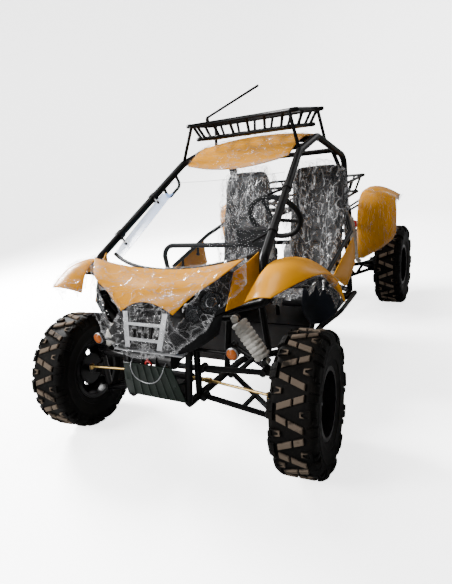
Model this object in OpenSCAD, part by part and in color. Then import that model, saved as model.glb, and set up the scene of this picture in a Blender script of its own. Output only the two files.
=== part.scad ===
// Two-seat dune buggy: a tube frame and cage, moulded body panels, coil-over suspension and lugged tyres.
// The front faces -Y, the driver sits on the +X side, and the ground is at Z = 0.
// Places are worked out from the front axle's centre on the ground, then moved to the middle of the length.

/* [Running gear] */
// Distance between the front and rear axles
wheelbase = 2310; // [2250:10:2400]
// Distance between the middles of the front tyres
front_track = 1380; // [1360:5:1420]
// Distance between the middles of the rear tyres
rear_track = 1300; // [1280:5:1340]
// Outer diameter of the tyres
tyre_d = 660; // [640:2:670]
// Width of the tyres
tyre_w = 223; // [205:1:230]
// Diameter of the rims at the tyre beads
rim_d = 305; // [290:1:320]
// Angle that the front wheels are turned towards the driver's side
rest_steer = 5; // [0:1:10]
// Turns of the steering wheel for each turn of the front wheels
steer_gear = 9; // [6:1:12]

/* [Frame] */
// Diameter of the cage tubes
cage_tube_d = 42; // [36:1:46]
// Diameter of the lower frame tubes
frame_tube_d = 38; // [32:1:42]
// Diameter of the suspension arm tubes
arm_tube_d = 28; // [22:1:32]
// Height of the lower rails
rail_z = 330; // [310:5:345]
// Half width of the frame through the cabin
cabin_half_w = 470; // [450:5:490]
// Half width of the cage at the roof
roof_half_w = 401; // [385:1:415]
// Height of the cage over the seats
roof_z = 1461; // [1430:5:1500]
// Diameter of the basket rack rods
rack_rod_d = 16; // [12:1:18]

/* [Body] */
// Thickness of the moulded panels
panel_t = 6; // [4:0.5:8]
// Thickness of the windscreen
screen_t = 5; // [4:0.5:6]
// Diameter of the steering wheel
steering_wheel_d = 330; // [300:5:350]
// Thickness of the seat shells and their padding
seat_t = 60; // [40:5:70]
// Width of a seat
seat_w = 370; // [350:5:380]

/* [Hidden] */
$fn = 48;

// Clearances and cuts
seat_gap = 0.3;
fit_gap = 0.05;
overrun = 4;
bend_swell = 0.3;

// Derived radii
tyre_r = tyre_d / 2;
rim_r = rim_d / 2;
cage_r = cage_tube_d / 2;
rail_r = frame_tube_d / 2;
tower_r = rail_r - 1;
arm_r = arm_tube_d / 2;
rack_r = rack_rod_d / 2;

// Tyre section
shoulder_r = 45;
bead_w = 170;
lug_h = 12;
tyre_wall = 14;

// Overall length
rear_overhang = 370;
kingpin_gap = 40;
kingpin_x = front_track / 2 - tyre_w / 2 - kingpin_gap;
shoulder_x = kingpin_gap + tyre_w - shoulder_r;
front_reach = (tyre_r - shoulder_r) * cos(rest_steer) + shoulder_x * sin(rest_steer) + shoulder_r;
middle_y = (wheelbase + rear_overhang - front_reach) / 2;

// Lower rails, from the nose to the tail
nose_half_w = 170;
nose_rail_y = -200;
nose_rise = 20;
footwell_half_w = 190;
footwell_share = 0.142857;
cabin_front_share = 0.233766;
hoop_share = 0.727273;
engine_front_share = 0.08658;
footwell_y = wheelbase * footwell_share;
cabin_front_y = wheelbase * cabin_front_share;
hoop_lean = 120;
hoop_y = wheelbase * hoop_share;
hoop_foot_y = hoop_y - hoop_lean;
tail_half_w = 250;
engine_front_y = hoop_foot_y + wheelbase * engine_front_share;
tail_reach = 250;
tail_y = wheelbase + tail_reach;
tail_rise = 130;
rail_bend = 80;
rail_points = [
    [nose_half_w, nose_rail_y, rail_z + nose_rise],
    [footwell_half_w, footwell_y, rail_z],
    [cabin_half_w, cabin_front_y, rail_z],
    [cabin_half_w, hoop_foot_y, rail_z],
    [tail_half_w, engine_front_y, rail_z],
    [tail_half_w, tail_y, rail_z + tail_rise]
];

// Rail and pillar helpers
function unit(v) = v / norm(v);
function between(a, b, share) = a + (b - a) * share;
function flip(p) = [-p[0], p[1], p[2]];
function on_line(points, i, share) = between(points[i], points[i + 1], share);

// Front towers: an upper rail on each side, held up by posts from the lower rail
tower_z = 700;
tower_post_ys = [-110, 150];
tower_nose_y = -150;
tower_back_share = 0.181818;
tower_back_y = wheelbase * tower_back_share;
tower_nose_half_w = 200;
tower_nose_drop = 10;
tower_back_half_w = 290;
tower_bend = 50;
function rail_at(y) =
    let (i = y < footwell_y ? 0 : y < cabin_front_y ? 1 : y < hoop_foot_y ? 2 : y < engine_front_y ? 3 : 4,
        a = rail_points[i], b = rail_points[i + 1])
    between(a, b, (y - a[1]) / (b[1] - a[1]));
tower_nose = [tower_nose_half_w, tower_nose_y, tower_z - tower_nose_drop];
tower_back = [tower_back_half_w, tower_back_y, tower_z];
function tower_at(y) = between(tower_nose, tower_back, (y - tower_nose_y) / (tower_back_y - tower_nose_y));

// Cage side: pillar foot, elbow, pillar base, roof front, roof crest, hoop top and hoop foot
waist_z = 958;
waist_half_w = 500;
pillar_base_y = 51;
roof_front_share = 0.38658;
roof_front_y = wheelbase * roof_front_share;
roof_drop = 68;
roof_crest_share = 0.532035;
roof_crest_y = wheelbase * roof_crest_share;
hoop_half_w = 440;
hoop_drop = 163;
hoop_z = roof_z - hoop_drop;
pillar_foot_y = 130;
pillar_elbow_y = 110;
pillar_elbow_z = 770;
pillar_elbow_in = 0;
cage_bend = 80;
cage_points = [
    tower_at(pillar_foot_y),
    [waist_half_w - pillar_elbow_in, pillar_elbow_y, pillar_elbow_z],
    [waist_half_w, pillar_base_y, waist_z],
    [roof_half_w, roof_front_y, roof_z - roof_drop],
    [roof_half_w, roof_crest_y, roof_z],
    [hoop_half_w, hoop_y, hoop_z],
    [cabin_half_w, hoop_foot_y, rail_z]
];

// Crowned sheet: rows of [left point, right point, bulge], smoothed from row to row
function glide(a, b, c, d, s) =
    (2 * b + (c - a) * s + (2 * a - 5 * b + 4 * c - d) * s * s + (3 * b - a - 3 * c + d) * s * s * s) / 2;
function row_at(rows, v) =
    let (last = len(rows) - 1, i = max(0, min(floor(v), last - 1)), s = v - i)
    [for (k = [0 : 2]) glide(rows[max(i - 1, 0)][k], rows[i][k], rows[i + 1][k], rows[min(i + 2,
        last)][k], s)];
function sheet_point(rows, u, v) =
    let (row = row_at(rows, v)) row[0] + (row[1] - row[0]) * u + row[2] * 4 * u * (1 - u);
function sheet_normal(rows, u, v) =
    let (step_share = 0.01, along = sheet_point(rows, u + step_share, v) - sheet_point(rows,
        u - step_share, v),
        across = sheet_point(rows, u, v + step_share) - sheet_point(rows, u, v - step_share))
    unit(cross(along, across));

module sheet(rows, t, nu = 8, steps = 3) {
    nv = (len(rows) - 1) * steps;
    outer = [for (i = [0 : nu], j = [0 : nv]) sheet_point(rows, i / nu, j / steps)];
    inner = [for (i = [0 : nu], j = [0 : nv])
        sheet_point(rows, i / nu, j / steps) - t * sheet_normal(rows, i / nu, j / steps)];
    count = (nu + 1) * (nv + 1);
    function at(i, j) = i * (nv + 1) + j;
    function split(a, b, c, d) = [[a, b, c], [a, c, d]];
    faces = [
        for (i = [0 : nu - 1], j = [0 : nv - 1])
            each split(at(i, j), at(i, j + 1), at(i + 1, j + 1), at(i + 1, j)),
        for (i = [0 : nu - 1], j = [0 : nv - 1])
            each split(count + at(i, j), count + at(i + 1, j), count + at(i + 1, j + 1), count + at(i,
                j + 1)),
        for (i = [0 : nu - 1])
            each split(at(i, 0), at(i + 1, 0), count + at(i + 1, 0), count + at(i, 0)),
        for (i = [0 : nu - 1])
            each split(at(i + 1, nv), at(i, nv), count + at(i, nv), count + at(i + 1, nv)),
        for (j = [0 : nv - 1])
            each split(at(0, j + 1), at(0, j), count + at(0, j), count + at(0, j + 1)),
        for (j = [0 : nv - 1])
            each split(at(nu, j), at(nu, j + 1), count + at(nu, j + 1), count + at(nu, j))
    ];
    polyhedron(concat(outer, inner), faces);
}

// Stands its children, which point up, along the line from a to b
module along(a, b) {
    d = b - a;
    translate(a) rotate([0, acos(d[2] / norm(d)), atan2(d[1], d[0])]) children();
}

module rod(a, b, r) {
    along(a, b) cylinder(r = r, h = norm(b - a));
}

// Round tube through the points, with a bend of radius bend at each inner point
module pipe(points, r, bend) {
    last = len(points) - 1;
    function way(i) = unit(points[i + 1] - points[i]);
    function turn(i) = i == 0 || i == last ? 0 : acos(max(-1, min(1, way(i - 1) * way(i))));
    function setback(i) = bend * tan(turn(i) / 2);
    for (i = [0 : last - 1])
        rod(points[i] + way(i) * setback(i), points[i + 1] - way(i) * setback(i + 1), r);
    for (i = [1 : last - 1]) {
        start = points[i] - way(i - 1) * setback(i);
        centre = points[i] + unit(way(i) - way(i - 1)) * bend / cos(turn(i) / 2);
        x = unit(start - centre);
        y = way(i - 1);
        z = cross(x, y);
        lead = asin(min(overrun, bend / 20) / bend);
        multmatrix([
            [x[0], y[0], z[0], centre[0]],
            [x[1], y[1], z[1], centre[1]],
            [x[2], y[2], z[2], centre[2]],
            [0, 0, 0, 1]
        ]) rotate([0, 0, -lead]) rotate_extrude(angle = turn(i) + 2 * lead)
            translate([bend, 0]) circle(r = r + bend_swell);
    }
}

module pair() {
    children();
    mirror([1, 0, 0]) children();
}

// Moves from the front axle's frame to the middle of the length
module placed() {
    translate([0, -middle_y, 0]) children();
}

// Lower frame
module rails() {
    pair() pipe(rail_points, rail_r, rail_bend);
}

module frame_rails() {
    color("black") rails();
}

// Front towers
module towers() {
    pair() {
        pipe([rail_points[0], tower_nose, tower_back, rail_at(tower_back_y)], tower_r, tower_bend);
        for (y = tower_post_ys) rod(rail_at(y), tower_at(y), tower_r - overrun / 2);
        rod(tower_at(shock_top[1]), shock_top - [shock_eye_r + seat_gap, 0, 0], horn_r);
    }
}

module front_towers() {
    color("black") difference() {
        towers();
        rails();
    }
}

// Rear frame: an upper rail on each side from the hoop to the tail
rear_rail_z = 830;
rear_rail_half_w = 330;
rear_rail_lead = 60;
rear_rail_y = engine_front_y + rear_rail_lead;
rear_rail_bend = 90;
rear_frame_share = 0.48;
rear_points = [
    on_line(cage_points, 5, rear_frame_share),
    [rear_rail_half_w, rear_rail_y, rear_rail_z],
    [tail_half_w, tail_y - rear_rail_bend, rear_rail_z],
    rail_at(tail_y - rail_r)
];

module rear_rails() {
    pair() pipe(rear_points, tower_r, rear_rail_bend);
}

module rear_frame() {
    color("black") difference() {
        rear_rails();
        rails();
        cage();
    }
}

// Rear bumper loop
bumper_z = 560;
bumper_half_w = 330;
bumper_bend = 60;
bumper_y = wheelbase + rear_overhang - rail_r;

module rear_bumper() {
    color("black") difference() {
        pipe([
            [-tail_half_w, tail_y - rail_r, bumper_z],
            [-bumper_half_w, bumper_y, bumper_z],
            [bumper_half_w, bumper_y, bumper_z],
            [tail_half_w, tail_y - rail_r, bumper_z]
        ], rail_r, bumper_bend);
        rear_rails();
    }
}

// Cross tubes of the lower and upper frame: [front to rear place, true if on the upper rails]
nose_cross_y = -150;
foot_cross_y = 150;
bulkhead_cross_y = -60;
seat_cross_share = 0.47619;
cabin_cross_gap = 100;
hoop_cross_gap = 90;
tail_cross_gap = 60;
dash_cross_gap = 80;
cross_places = [
    [nose_cross_y, false], [foot_cross_y, false], [cabin_front_y + cabin_cross_gap, false],
    [wheelbase * seat_cross_share, false], [hoop_foot_y - hoop_cross_gap, false],
    [engine_front_y + tail_cross_gap, false], [tail_y - tail_cross_gap, false],
    [bulkhead_cross_y, true], [tower_back_y - dash_cross_gap, true]
];

module frame_crossmembers() {
    color("black") difference() {
        for (place = cross_places) {
            end = place[1] ? tower_at(place[0]) : rail_at(place[0]);
            rod(end, flip(end), cross_r);
        }
        rails();
        towers();
    }
}

// Cage
module cage() {
    pair() pipe(cage_points, cage_r, cage_bend);
}

module cage_sides() {
    color("black") difference() {
        cage();
        rails();
        towers();
    }
}

// Cross bars of the cage: [run of the cage side, share along the run]
cage_bar_shares = [[3, 0.35], [3, 0.88], [4, 0.66], [5, 0.36], [5, 0.62]];
bar_r = cage_r - overrun;

module cage_bars() {
    for (bar = cage_bar_shares) {
        end = on_line(cage_points, bar[0], bar[1]);
        rod(end, flip(end), bar_r);
    }
}

module cage_crossbars() {
    color("black") difference() {
        cage_bars();
        cage();
    }
}

// Stays from the rear roof bar to the hoop legs, and a grab handle on the passenger's pillar
stay_bar_share = 0.95;
stay_leg_share = 0.17;
stay_r = arm_r;
handle_shares = [0.74, 0.89];
handle_r = 9;
handle_bend = 30;
handle_drop = 90;

module grab_handle() {
    ends = [for (share = handle_shares) flip(on_line(cage_points, 2, share))];
    drop = unit(cross(ends[1] - ends[0], [1, 0, 0])) * handle_drop;
    pipe([ends[0], ends[0] + drop, ends[1] + drop, ends[1]], handle_r, handle_bend);
}

module cage_stays() {
    top = on_line(cage_points, cage_bar_shares[2][0], cage_bar_shares[2][1]);
    leg = on_line(cage_points, 5, stay_leg_share);
    color("black") difference() {
        union() {
            pair() rod([top[0] * stay_bar_share, top[1], top[2]], leg, stay_r);
            grab_handle();
        }
        cage();
        cage_bars();
    }
}

// Side bars over the sills, with a step tube below
side_bar_half_w = 560;
side_bar_front_share = 0.30303;
side_bar_front_y = wheelbase * side_bar_front_share;
side_bar_front_z = 690;
side_bar_hoop_gap = 350;
side_bar_rear_y = hoop_y - side_bar_hoop_gap;
side_bar_rear_z = 832;
side_bar_bend = 60;
side_bar_end_share = 0.39;
step_half_w = 585;
step_z = 420;
step_front_share = 0.363636;
step_front_y = wheelbase * step_front_share;
step_hoop_gap = 200;
step_rear_y = hoop_foot_y - step_hoop_gap;

module side_bars() {
    color("black") difference() {
        pair() {
            pipe([
                rail_at(cabin_front_y + rail_bend),
                [side_bar_half_w, side_bar_front_y, side_bar_front_z],
                [side_bar_half_w, side_bar_rear_y, side_bar_rear_z],
                on_line(cage_points, 5, side_bar_end_share)
            ], arm_r, side_bar_bend);
            pipe([
                rail_at(step_front_y),
                [step_half_w, step_front_y + side_bar_bend, step_z],
                [step_half_w, step_rear_y - side_bar_bend, step_z],
                rail_at(step_rear_y)
            ], arm_r, side_bar_bend);
        }
        rails();
        cage();
        rear_rails();
    }
}

// Floor, with a raised deck under the seats
floor_t = 4;
deck_t = 6;
deck_lead = 30;
floor_margin = 40;
cross_r = rail_r - overrun / 2;
floor_z = rail_z + cross_r + seat_gap;
deck_z = floor_z + floor_t + deck_t;

module floor_pan() {
    outline = [
        [footwell_half_w, footwell_y - rail_bend], [footwell_half_w, footwell_y],
        [cabin_half_w, cabin_front_y], [cabin_half_w, hoop_foot_y]
    ];
    half = [for (p = outline) [p[0] - floor_margin, p[1]]];
    deck_y = seat_y - deck_lead;
    color([0.05, 0.05, 0.05]) {
        translate([0, 0, floor_z]) linear_extrude(height = floor_t)
            difference() {
                polygon(concat(half, [for (i = [len(half) - 1 : -1 : 0]) [-half[i][0], half[i][1]]]));
                for (side = [-1, 1])
                    translate([side * tower_at(tower_back_y)[0], tower_back_y])
                        circle(r = rail_r + overrun);
            }
        translate([floor_margin - cabin_half_w, deck_y, floor_z])
            cube([2 * (cabin_half_w - floor_margin), hoop_foot_y - deck_y, floor_t + deck_t]);
    }
}

// Front suspension
lower_ball_z = 215;
upper_ball_z = 455;
upper_pivot_z = 500;
ball_r = 17;
ball_h = 40;
bush_r = 18;
bush_l = 46;
bush_bite = 4;
axle_z = tyre_r;

function post_at(y, z) =
    between(rail_at(y), tower_at(y), (z - rail_at(y)[2]) / (tower_at(y)[2] - rail_at(y)[2]));

module arm(pivots, ball_z) {
    ball = [kingpin_x, 0, ball_z];
    translate([kingpin_x, 0, ball_z - ball_h / 2]) cylinder(r = ball_r, h = ball_h);
    for (p = pivots) {
        rod(p, ball, arm_r);
        translate([p[0], p[1] - bush_l / 2, p[2]]) rotate([-90, 0, 0]) cylinder(r = bush_r, h = bush_l);
    }
    rod(between(pivots[0], ball, 0.5), between(pivots[1], ball, 0.5), arm_r - overrun / 2);
}

module front_arms() {
    out = rail_r + bush_r - bush_bite;
    lower = [for (y = tower_post_ys) rail_at(y) + [out, 0, 0]];
    upper = [for (y = tower_post_ys) post_at(y, upper_pivot_z) + [out, 0, 0]];
    color([0.04, 0.04, 0.04]) difference() {
        pair() {
            arm(lower, lower_ball_z);
            arm(upper, upper_ball_z);
            translate(upper_arm_mid(shock_foot_share) - [0, shock_eye_l, 0]) rotate([-90, 0, 0])
                cylinder(r = shock_pin_r, h = 2 * shock_eye_l);
        }
        rails();
        towers();
    }
}

// Coil-over shock with a pleated sleeve: stands from a to b
sleeve_r = 40;
sleeve_groove = 5;
sleeve_pleats = 9;
shock_rod_r = 11;
shock_eye_r = 18;
shock_eye_l = 34;

module shock(a, b) {
    length = norm(b - a);
    neck = shock_eye_r + overrun;
    pleat = (length - 2 * neck) / sleeve_pleats;
    along(a, b) {
        cylinder(r = shock_rod_r, h = length);
        translate([0, 0, neck]) rotate_extrude() polygon(concat(
            [[0, 0]],
            [for (i = [0 : sleeve_pleats - 1]) each [
                [sleeve_r - sleeve_groove, i * pleat],
                [sleeve_r, (i + 0.3) * pleat],
                [sleeve_r, (i + 0.7) * pleat]
            ]],
            [[sleeve_r - sleeve_groove, sleeve_pleats * pleat], [0, sleeve_pleats * pleat]]
        ));
        for (z = [0, length])
            translate([0, shock_eye_l / 2, z]) rotate([90, 0, 0])
                cylinder(r = shock_eye_r, h = shock_eye_l);
    }
}

shock_y = 25;
shock_top = [350, shock_y, 705];
shock_foot_share = 0.84;
shock_pin_r = arm_r + overrun;
horn_r = arm_r;

// The upper arm carries the shock's foot on a cross pin between its two tubes
function upper_arm_mid(share) =
    between((post_at(tower_post_ys[0], upper_pivot_z) + post_at(tower_post_ys[1], upper_pivot_z)) / 2,
        [kingpin_x, 0, upper_ball_z], share);

module front_shocks() {
    pin = upper_arm_mid(shock_foot_share);
    color([0.75, 0.72, 0.65]) pair()
        shock(shock_top, [pin[0], shock_y, pin[2] + shock_pin_r + shock_eye_r + seat_gap]);
}

// Rear suspension: a truss trailing arm on each side, with its hub carrier
arm_pivot_gap = 30;
arm_pivot_y = engine_front_y + arm_pivot_gap;
arm_pivot_half_w = tail_half_w + rail_r + bush_r - bush_bite;
carrier_x = rear_track / 2 - tyre_w / 2 - kingpin_gap / 2;
carrier_w = 60;
carrier_r = 62;
truss_h = 110;
hub_pin_r = 20;
truss_shares = [[0.04, 0.06], [0.12, 0.32], [0.50, 0.36], [0.56, 0.74]];

module trailing_arms() {
    hub = [carrier_x - carrier_w, wheelbase, axle_z];
    low = [arm_pivot_half_w, arm_pivot_y, rail_z];
    high = low + [0, 0, truss_h];
    low_end = hub + [carrier_w / 2, -carrier_r / 2, -truss_h / 4];
    high_end = hub + [carrier_w / 2, -carrier_r / 2, truss_h / 4];
    color([0.04, 0.04, 0.04]) difference() {
        pair() {
            translate(hub) rotate([0, 90, 0]) cylinder(r = carrier_r, h = carrier_w);
            translate(hub) rotate([0, 90, 0])
                cylinder(r = hub_pin_r, h = rear_track / 2 + hub_pin_r - hub[0]);
            rod(low, low_end, arm_r);
            rod(high, high_end, arm_r);
            for (web = truss_shares)
                rod(between(low, low_end, web[0]), between(high, high_end, web[1]), arm_r - overrun / 2);
            translate(low - [0, bush_l / 2, 0]) rotate([-90, 0, 0]) cylinder(r = bush_r, h = bush_l);
        }
        rails();
    }
}

rear_shock_foot_share = 0.62;
rear_shock_lead = 260;
rear_shock_top_y = wheelbase - rear_shock_lead;

module rear_shocks() {
    hub = [carrier_x - carrier_w / 2, wheelbase - carrier_r / 2, axle_z + truss_h / 4];
    high = [arm_pivot_half_w, arm_pivot_y, rail_z + truss_h];
    foot = between(high, hub, rear_shock_foot_share) + [0, 0, arm_r + shock_eye_r + seat_gap];
    top = [rear_rail_half_w + rail_r, rear_shock_top_y, rear_rail_z - rail_r];
    color([0.75, 0.72, 0.65]) difference() {
        pair() shock(top, foot);
        rear_rails();
    }
}

// Drive shafts with bellows from the transaxle to the hub carriers
shaft_r = 13;
boot_r = 42;
boot_l = 90;
transaxle_half_w = 150;

module drive_shafts() {
    inner = [transaxle_half_w + seat_gap, wheelbase, axle_z];
    outer = [carrier_x - carrier_w - seat_gap, wheelbase, axle_z];
    color([0.06, 0.06, 0.06]) pair() {
        rod(inner, outer, shaft_r);
        translate(inner) rotate([0, 90, 0]) cylinder(r1 = boot_r, r2 = shaft_r, h = boot_l);
        translate(outer) rotate([0, -90, 0]) cylinder(r1 = boot_r, r2 = shaft_r, h = boot_l);
    }
}

// Steered hubs
spindle_r = 20;
steer_arm_l = 105;
steer_arm_z = 385;
steer_arm_t = 16;
post_r = 18;
stud_r = 10;
stud_h = 16;
hub_end = front_track / 2 + hub_pin_r;

module steered(side) {
    translate([side * kingpin_x, 0, 0]) rotate([0, 0, rest_steer]) translate([-side * kingpin_x, 0, 0])
        mirror([side < 0 ? 1 : 0, 0, 0]) children();
}

module knuckle() {
    low = lower_ball_z + ball_h / 2 + seat_gap;
    high = upper_ball_z - ball_h / 2 - seat_gap;
    color([0.1, 0.1, 0.1]) {
        translate([kingpin_x, 0, low]) cylinder(r = stud_r, h = high - low);
        translate([kingpin_x, 0, low + stud_h]) cylinder(r = post_r, h = high - low - 2 * stud_h);
        translate([kingpin_x, 0, axle_z]) rotate([0, 90, 0])
            cylinder(r = spindle_r, h = hub_end - kingpin_x);
        translate([kingpin_x, 0, axle_z]) rotate([0, 90, 0]) cylinder(r = post_r * 2, h = post_r);
        translate([kingpin_x - steer_arm_t / 2, -steer_arm_l, steer_arm_z - steer_arm_t / 2])
            cube([steer_arm_t, steer_arm_l, steer_arm_t]);
        translate([kingpin_x, -steer_arm_l, steer_arm_z - steer_arm_t / 2])
            cylinder(r = ball_r, h = steer_arm_t);
    }
}

module knuckle_left() { steered(1) knuckle(); }
module knuckle_right() { steered(-1) knuckle(); }

// Wheels: drawn about the Z axis, the outside face upwards, then laid on the axle
disc_offset = 20;
disc_t = 8;
barrel_t = 6;
flange_h = 14;
hub_r = 46;
hub_l = 70;
vent_r = 20;
vent_count = 8;
vent_circle_share = 0.62;
nut_r = 9;
nut_h = 12;
nut_count = 4;
nut_circle_r = 33;
brake_r = 88;
brake_t = 6;

module rim() {
    half = bead_w / 2;
    difference() {
        union() {
            rotate_extrude() polygon([
                [rim_r - barrel_t, -half], [rim_r - barrel_t, half], [rim_r, half],
                    [rim_r + flange_h, half],
                [rim_r + flange_h, half - barrel_t], [rim_r, half - barrel_t], [rim_r, barrel_t - half],
                [rim_r + flange_h, barrel_t - half], [rim_r + flange_h, -half]
            ]);
            translate([0, 0, disc_offset]) difference() {
                cylinder(r = rim_r - barrel_t / 2, h = disc_t);
                for (i = [0 : vent_count - 1])
                    rotate([0, 0, i * 360 / vent_count]) translate([rim_r * vent_circle_share, 0, -overrun])
                        cylinder(r = vent_r, h = disc_t + 2 * overrun);
            }
            translate([0, 0, disc_offset + disc_t - hub_l]) cylinder(r = hub_r, h = hub_l);
            translate([0, 0, disc_offset + disc_t - hub_l]) cylinder(r = brake_r, h = brake_t);
            for (i = [0 : nut_count - 1])
                rotate([0, 0, (i + 0.5) * 360 / nut_count]) translate([nut_circle_r, 0, disc_offset])
                    cylinder(r = nut_r, h = disc_t + nut_h, $fn = 6);
        }
        translate([0, 0, disc_offset + disc_t - hub_l - overrun])
            cylinder(r = spindle_r + fit_gap, h = hub_l + 2 * overrun);
    }
}

// Tread: bars that lean in turn, a block in each opening between them, and a lug on each shoulder
tread_count = 20;
bar_l = 112;
bar_w = 30;
bar_skew = 22;
block_l = 40;
block_w = 34;
block_x = 60;
shoulder_lug_w = 36;
shoulder_lug_angles = [88, 40, 6];
function arc(s) = s / tyre_r * 180 / PI;
function tread_point(a, x, r) = [r * cos(a), r * sin(a), x];
function lug_edge(a, s, x) = tread_point(a + arc(s), x, tread_r(x));
function tread_r(x) =
    let (past = max(abs(x) - tyre_w / 2 + shoulder_r, 0))
    tyre_r - shoulder_r + sqrt(shoulder_r * shoulder_r - past * past);
function shoulder_spot(angle) =
    [tyre_w / 2 - shoulder_r + shoulder_r * cos(angle), tyre_r - shoulder_r + shoulder_r * sin(angle)];

module tread() {
    pitch = 360 / tread_count;
    depth = lug_h + overrun;
    for (i = [0 : tread_count - 1]) {
        a = i * pitch;
        lean = i % 2 == 0 ? bar_skew : -bar_skew;
        side = i % 2 == 0 ? -1 : 1;
        sheet([for (edge = [1, -1])
            [lug_edge(a, edge * bar_w / 2 - lean, -bar_l / 2), lug_edge(a, edge * bar_w / 2 + lean,
                bar_l / 2),
                [0, 0, 0]]], depth, 1, 1);
        sheet([for (edge = [1, -1])
            [lug_edge(a + pitch / 2, edge * block_w / 2, side * block_x - block_l / 2),
                lug_edge(a + pitch / 2, edge * block_w / 2, side * block_x + block_l / 2),
                    [0, 0, 0]]], depth, 1, 1);
        for (face = [-1, 1])
            sheet([for (angle = shoulder_lug_angles)
                let (spot = shoulder_spot(angle), turn = a + arc(face * lean))
                [tread_point(turn - face * arc(shoulder_lug_w / 2), face * spot[0], spot[1]),
                    tread_point(turn + face * arc(shoulder_lug_w / 2), face * spot[0], spot[1]),
                        [0, 0, 0]]],
                depth, 1, 1);
    }
}

module carcass() {
    half = tyre_w / 2;
    bead = bead_w / 2 - barrel_t - seat_gap;
    round_r = shoulder_r - lug_h;
    side = [for (i = [0 : 3]) let (a = i * 90 / 3)
        [tyre_r - shoulder_r + round_r * sin(a), half - shoulder_r + round_r * cos(a)]];
    back = [for (i = [3 : -1 : 0]) [side[i][0], -side[i][1]]];
    lip = rim_r + flange_h + seat_gap;
    inside = half - lug_h - tyre_wall;
    crown = tyre_r - lug_h - tyre_wall;
    rotate_extrude() polygon(concat(
        [[rim_r, bead - tyre_wall], [rim_r, bead], [lip, bead], [lip + barrel_t, half - lug_h - barrel_t]],
        side, back,
        [[lip + barrel_t, lug_h + barrel_t - half], [lip, -bead], [rim_r, -bead],
            [rim_r, tyre_wall - bead]],
        [[lip + tyre_wall, -inside], [crown - shoulder_r / 2, -inside], [crown, shoulder_r - half],
            [crown, half - shoulder_r], [crown - shoulder_r / 2, inside], [lip + tyre_wall, inside]]
    ));
}

module tyre() {
    carcass();
    tread();
}

module wheel_at(x, y) {
    translate([x, y, axle_z]) rotate([0, 90, 0]) children();
}

module front_rim_left() { color("black") steered(1) wheel_at(front_track / 2, 0) rim(); }
module front_rim_right() { color("black") steered(-1) wheel_at(front_track / 2, 0) rim(); }
module front_tyre_left() { color([0.08, 0.08, 0.08]) steered(1) wheel_at(front_track / 2, 0) tyre(); }
module front_tyre_right() { color([0.08, 0.08, 0.08]) steered(-1) wheel_at(front_track / 2, 0) tyre(); }
module rear_rim_left() { color("black") wheel_at(rear_track / 2, wheelbase) rim(); }
module rear_rim_right() { color("black") mirror([1, 0, 0]) rear_rim_left(); }
module rear_tyre_left() { color([0.08, 0.08, 0.08]) wheel_at(rear_track / 2, wheelbase) tyre(); }
module rear_tyre_right() { color([0.08, 0.08, 0.08]) mirror([1, 0, 0]) rear_tyre_left(); }

// Steering rack, with the tie rods' outer ends over the steering arms
rack_y = -60;
rack_bar_r = 11;
rack_z = steer_arm_z + steer_arm_t / 2 + seat_gap + rack_bar_r;
rack_half_l = 110;
rack_body_r = 24;
tie_inner_x = 195;
tie_r = 7;
tie_end_r = 14;
rack_shift = steer_arm_l * sin(rest_steer);
rack_foot_w = 40;
rack_foot_t = 12;

module rack_housing() {
    color([0.12, 0.12, 0.12]) difference() {
        union() {
            translate([-rack_half_l, rack_y, rack_z]) rotate([0, 90, 0])
                cylinder(r = rack_body_r, h = 2 * rack_half_l);
            for (side = [-1, 1])
                translate([side * rack_half_l * 0.6 - rack_foot_w / 2, cross_places[0][0], rail_z])
                    cube([rack_foot_w, rack_y - cross_places[0][0], rack_z - rail_z]);
        }
        translate([-rack_half_l - overrun, rack_y, rack_z]) rotate([0, 90, 0])
            cylinder(r = rack_bar_r + fit_gap, h = 2 * (rack_half_l + overrun));
        end = rail_at(cross_places[0][0]);
        rod(end, flip(end), cross_r);
    }
}

module tie_rods() {
    color([0.8, 0.65, 0.3]) {
        translate([rack_shift, rack_y, rack_z]) {
            translate([-tie_inner_x, 0, 0]) rotate([0, 90, 0])
                cylinder(r = rack_bar_r, h = 2 * tie_inner_x);
            for (side = [-1, 1]) translate([side * tie_inner_x - tie_end_r, 0, 0]) rotate([0, 90, 0])
                cylinder(r = tie_end_r, h = 2 * tie_end_r);
        }
        for (side = [-1, 1]) {
            outer = [side * kingpin_x + rack_shift, -steer_arm_l * cos(rest_steer), rack_z];
            rod([side * tie_inner_x + rack_shift, rack_y, rack_z], outer, tie_r);
            translate(outer - [0, 0, rack_bar_r]) cylinder(r = tie_end_r, h = 2 * rack_bar_r);
        }
    }
}

// Steering column and wheel
driver_x = 280;
wheel_share = 0.321645;
wheel_y = wheelbase * wheel_share;
wheel_z = 1047;
column_tilt = 32;
column_l = 330;
column_r = 19;
clamp_w = 26;
boss_r = 32;
boss_h = 40;
grip_r = 14;
spoke_r = 9;
spoke_angles = [0, 120, 240];
wheel_centre = [driver_x, wheel_y, wheel_z];
column_way = [0, cos(column_tilt), sin(column_tilt)];

module steering_column() {
    top = wheel_centre - column_way * (boss_h + seat_gap);
    drop = wheel_z - (wheel_y - dash_y) * tan(column_tilt);
    color([0.07, 0.07, 0.07]) difference() {
        union() {
            rod(top - column_way * column_l, top, column_r);
            translate([driver_x - clamp_w / 2, dash_y - clamp_w / 2, drop])
                cube([clamp_w, clamp_w, dash_z - drop]);
        }
        dash_tube();
    }
}

module steering_wheel() {
    back = wheel_centre - column_way * boss_h;
    color([0.05, 0.05, 0.05]) along(back, wheel_centre) rotate([0, 0, rest_steer * steer_gear]) {
        cylinder(r = boss_r, h = boss_h * 0.7);
        translate([0, 0, boss_h]) rotate_extrude() translate([steering_wheel_d / 2 - grip_r, 0])
            circle(r = grip_r);
        for (a = spoke_angles) rotate([0, 0, a])
            rod([0, 0, boss_h * 0.4], [steering_wheel_d / 2 - grip_r, 0, boss_h], spoke_r);
    }
}

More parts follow.
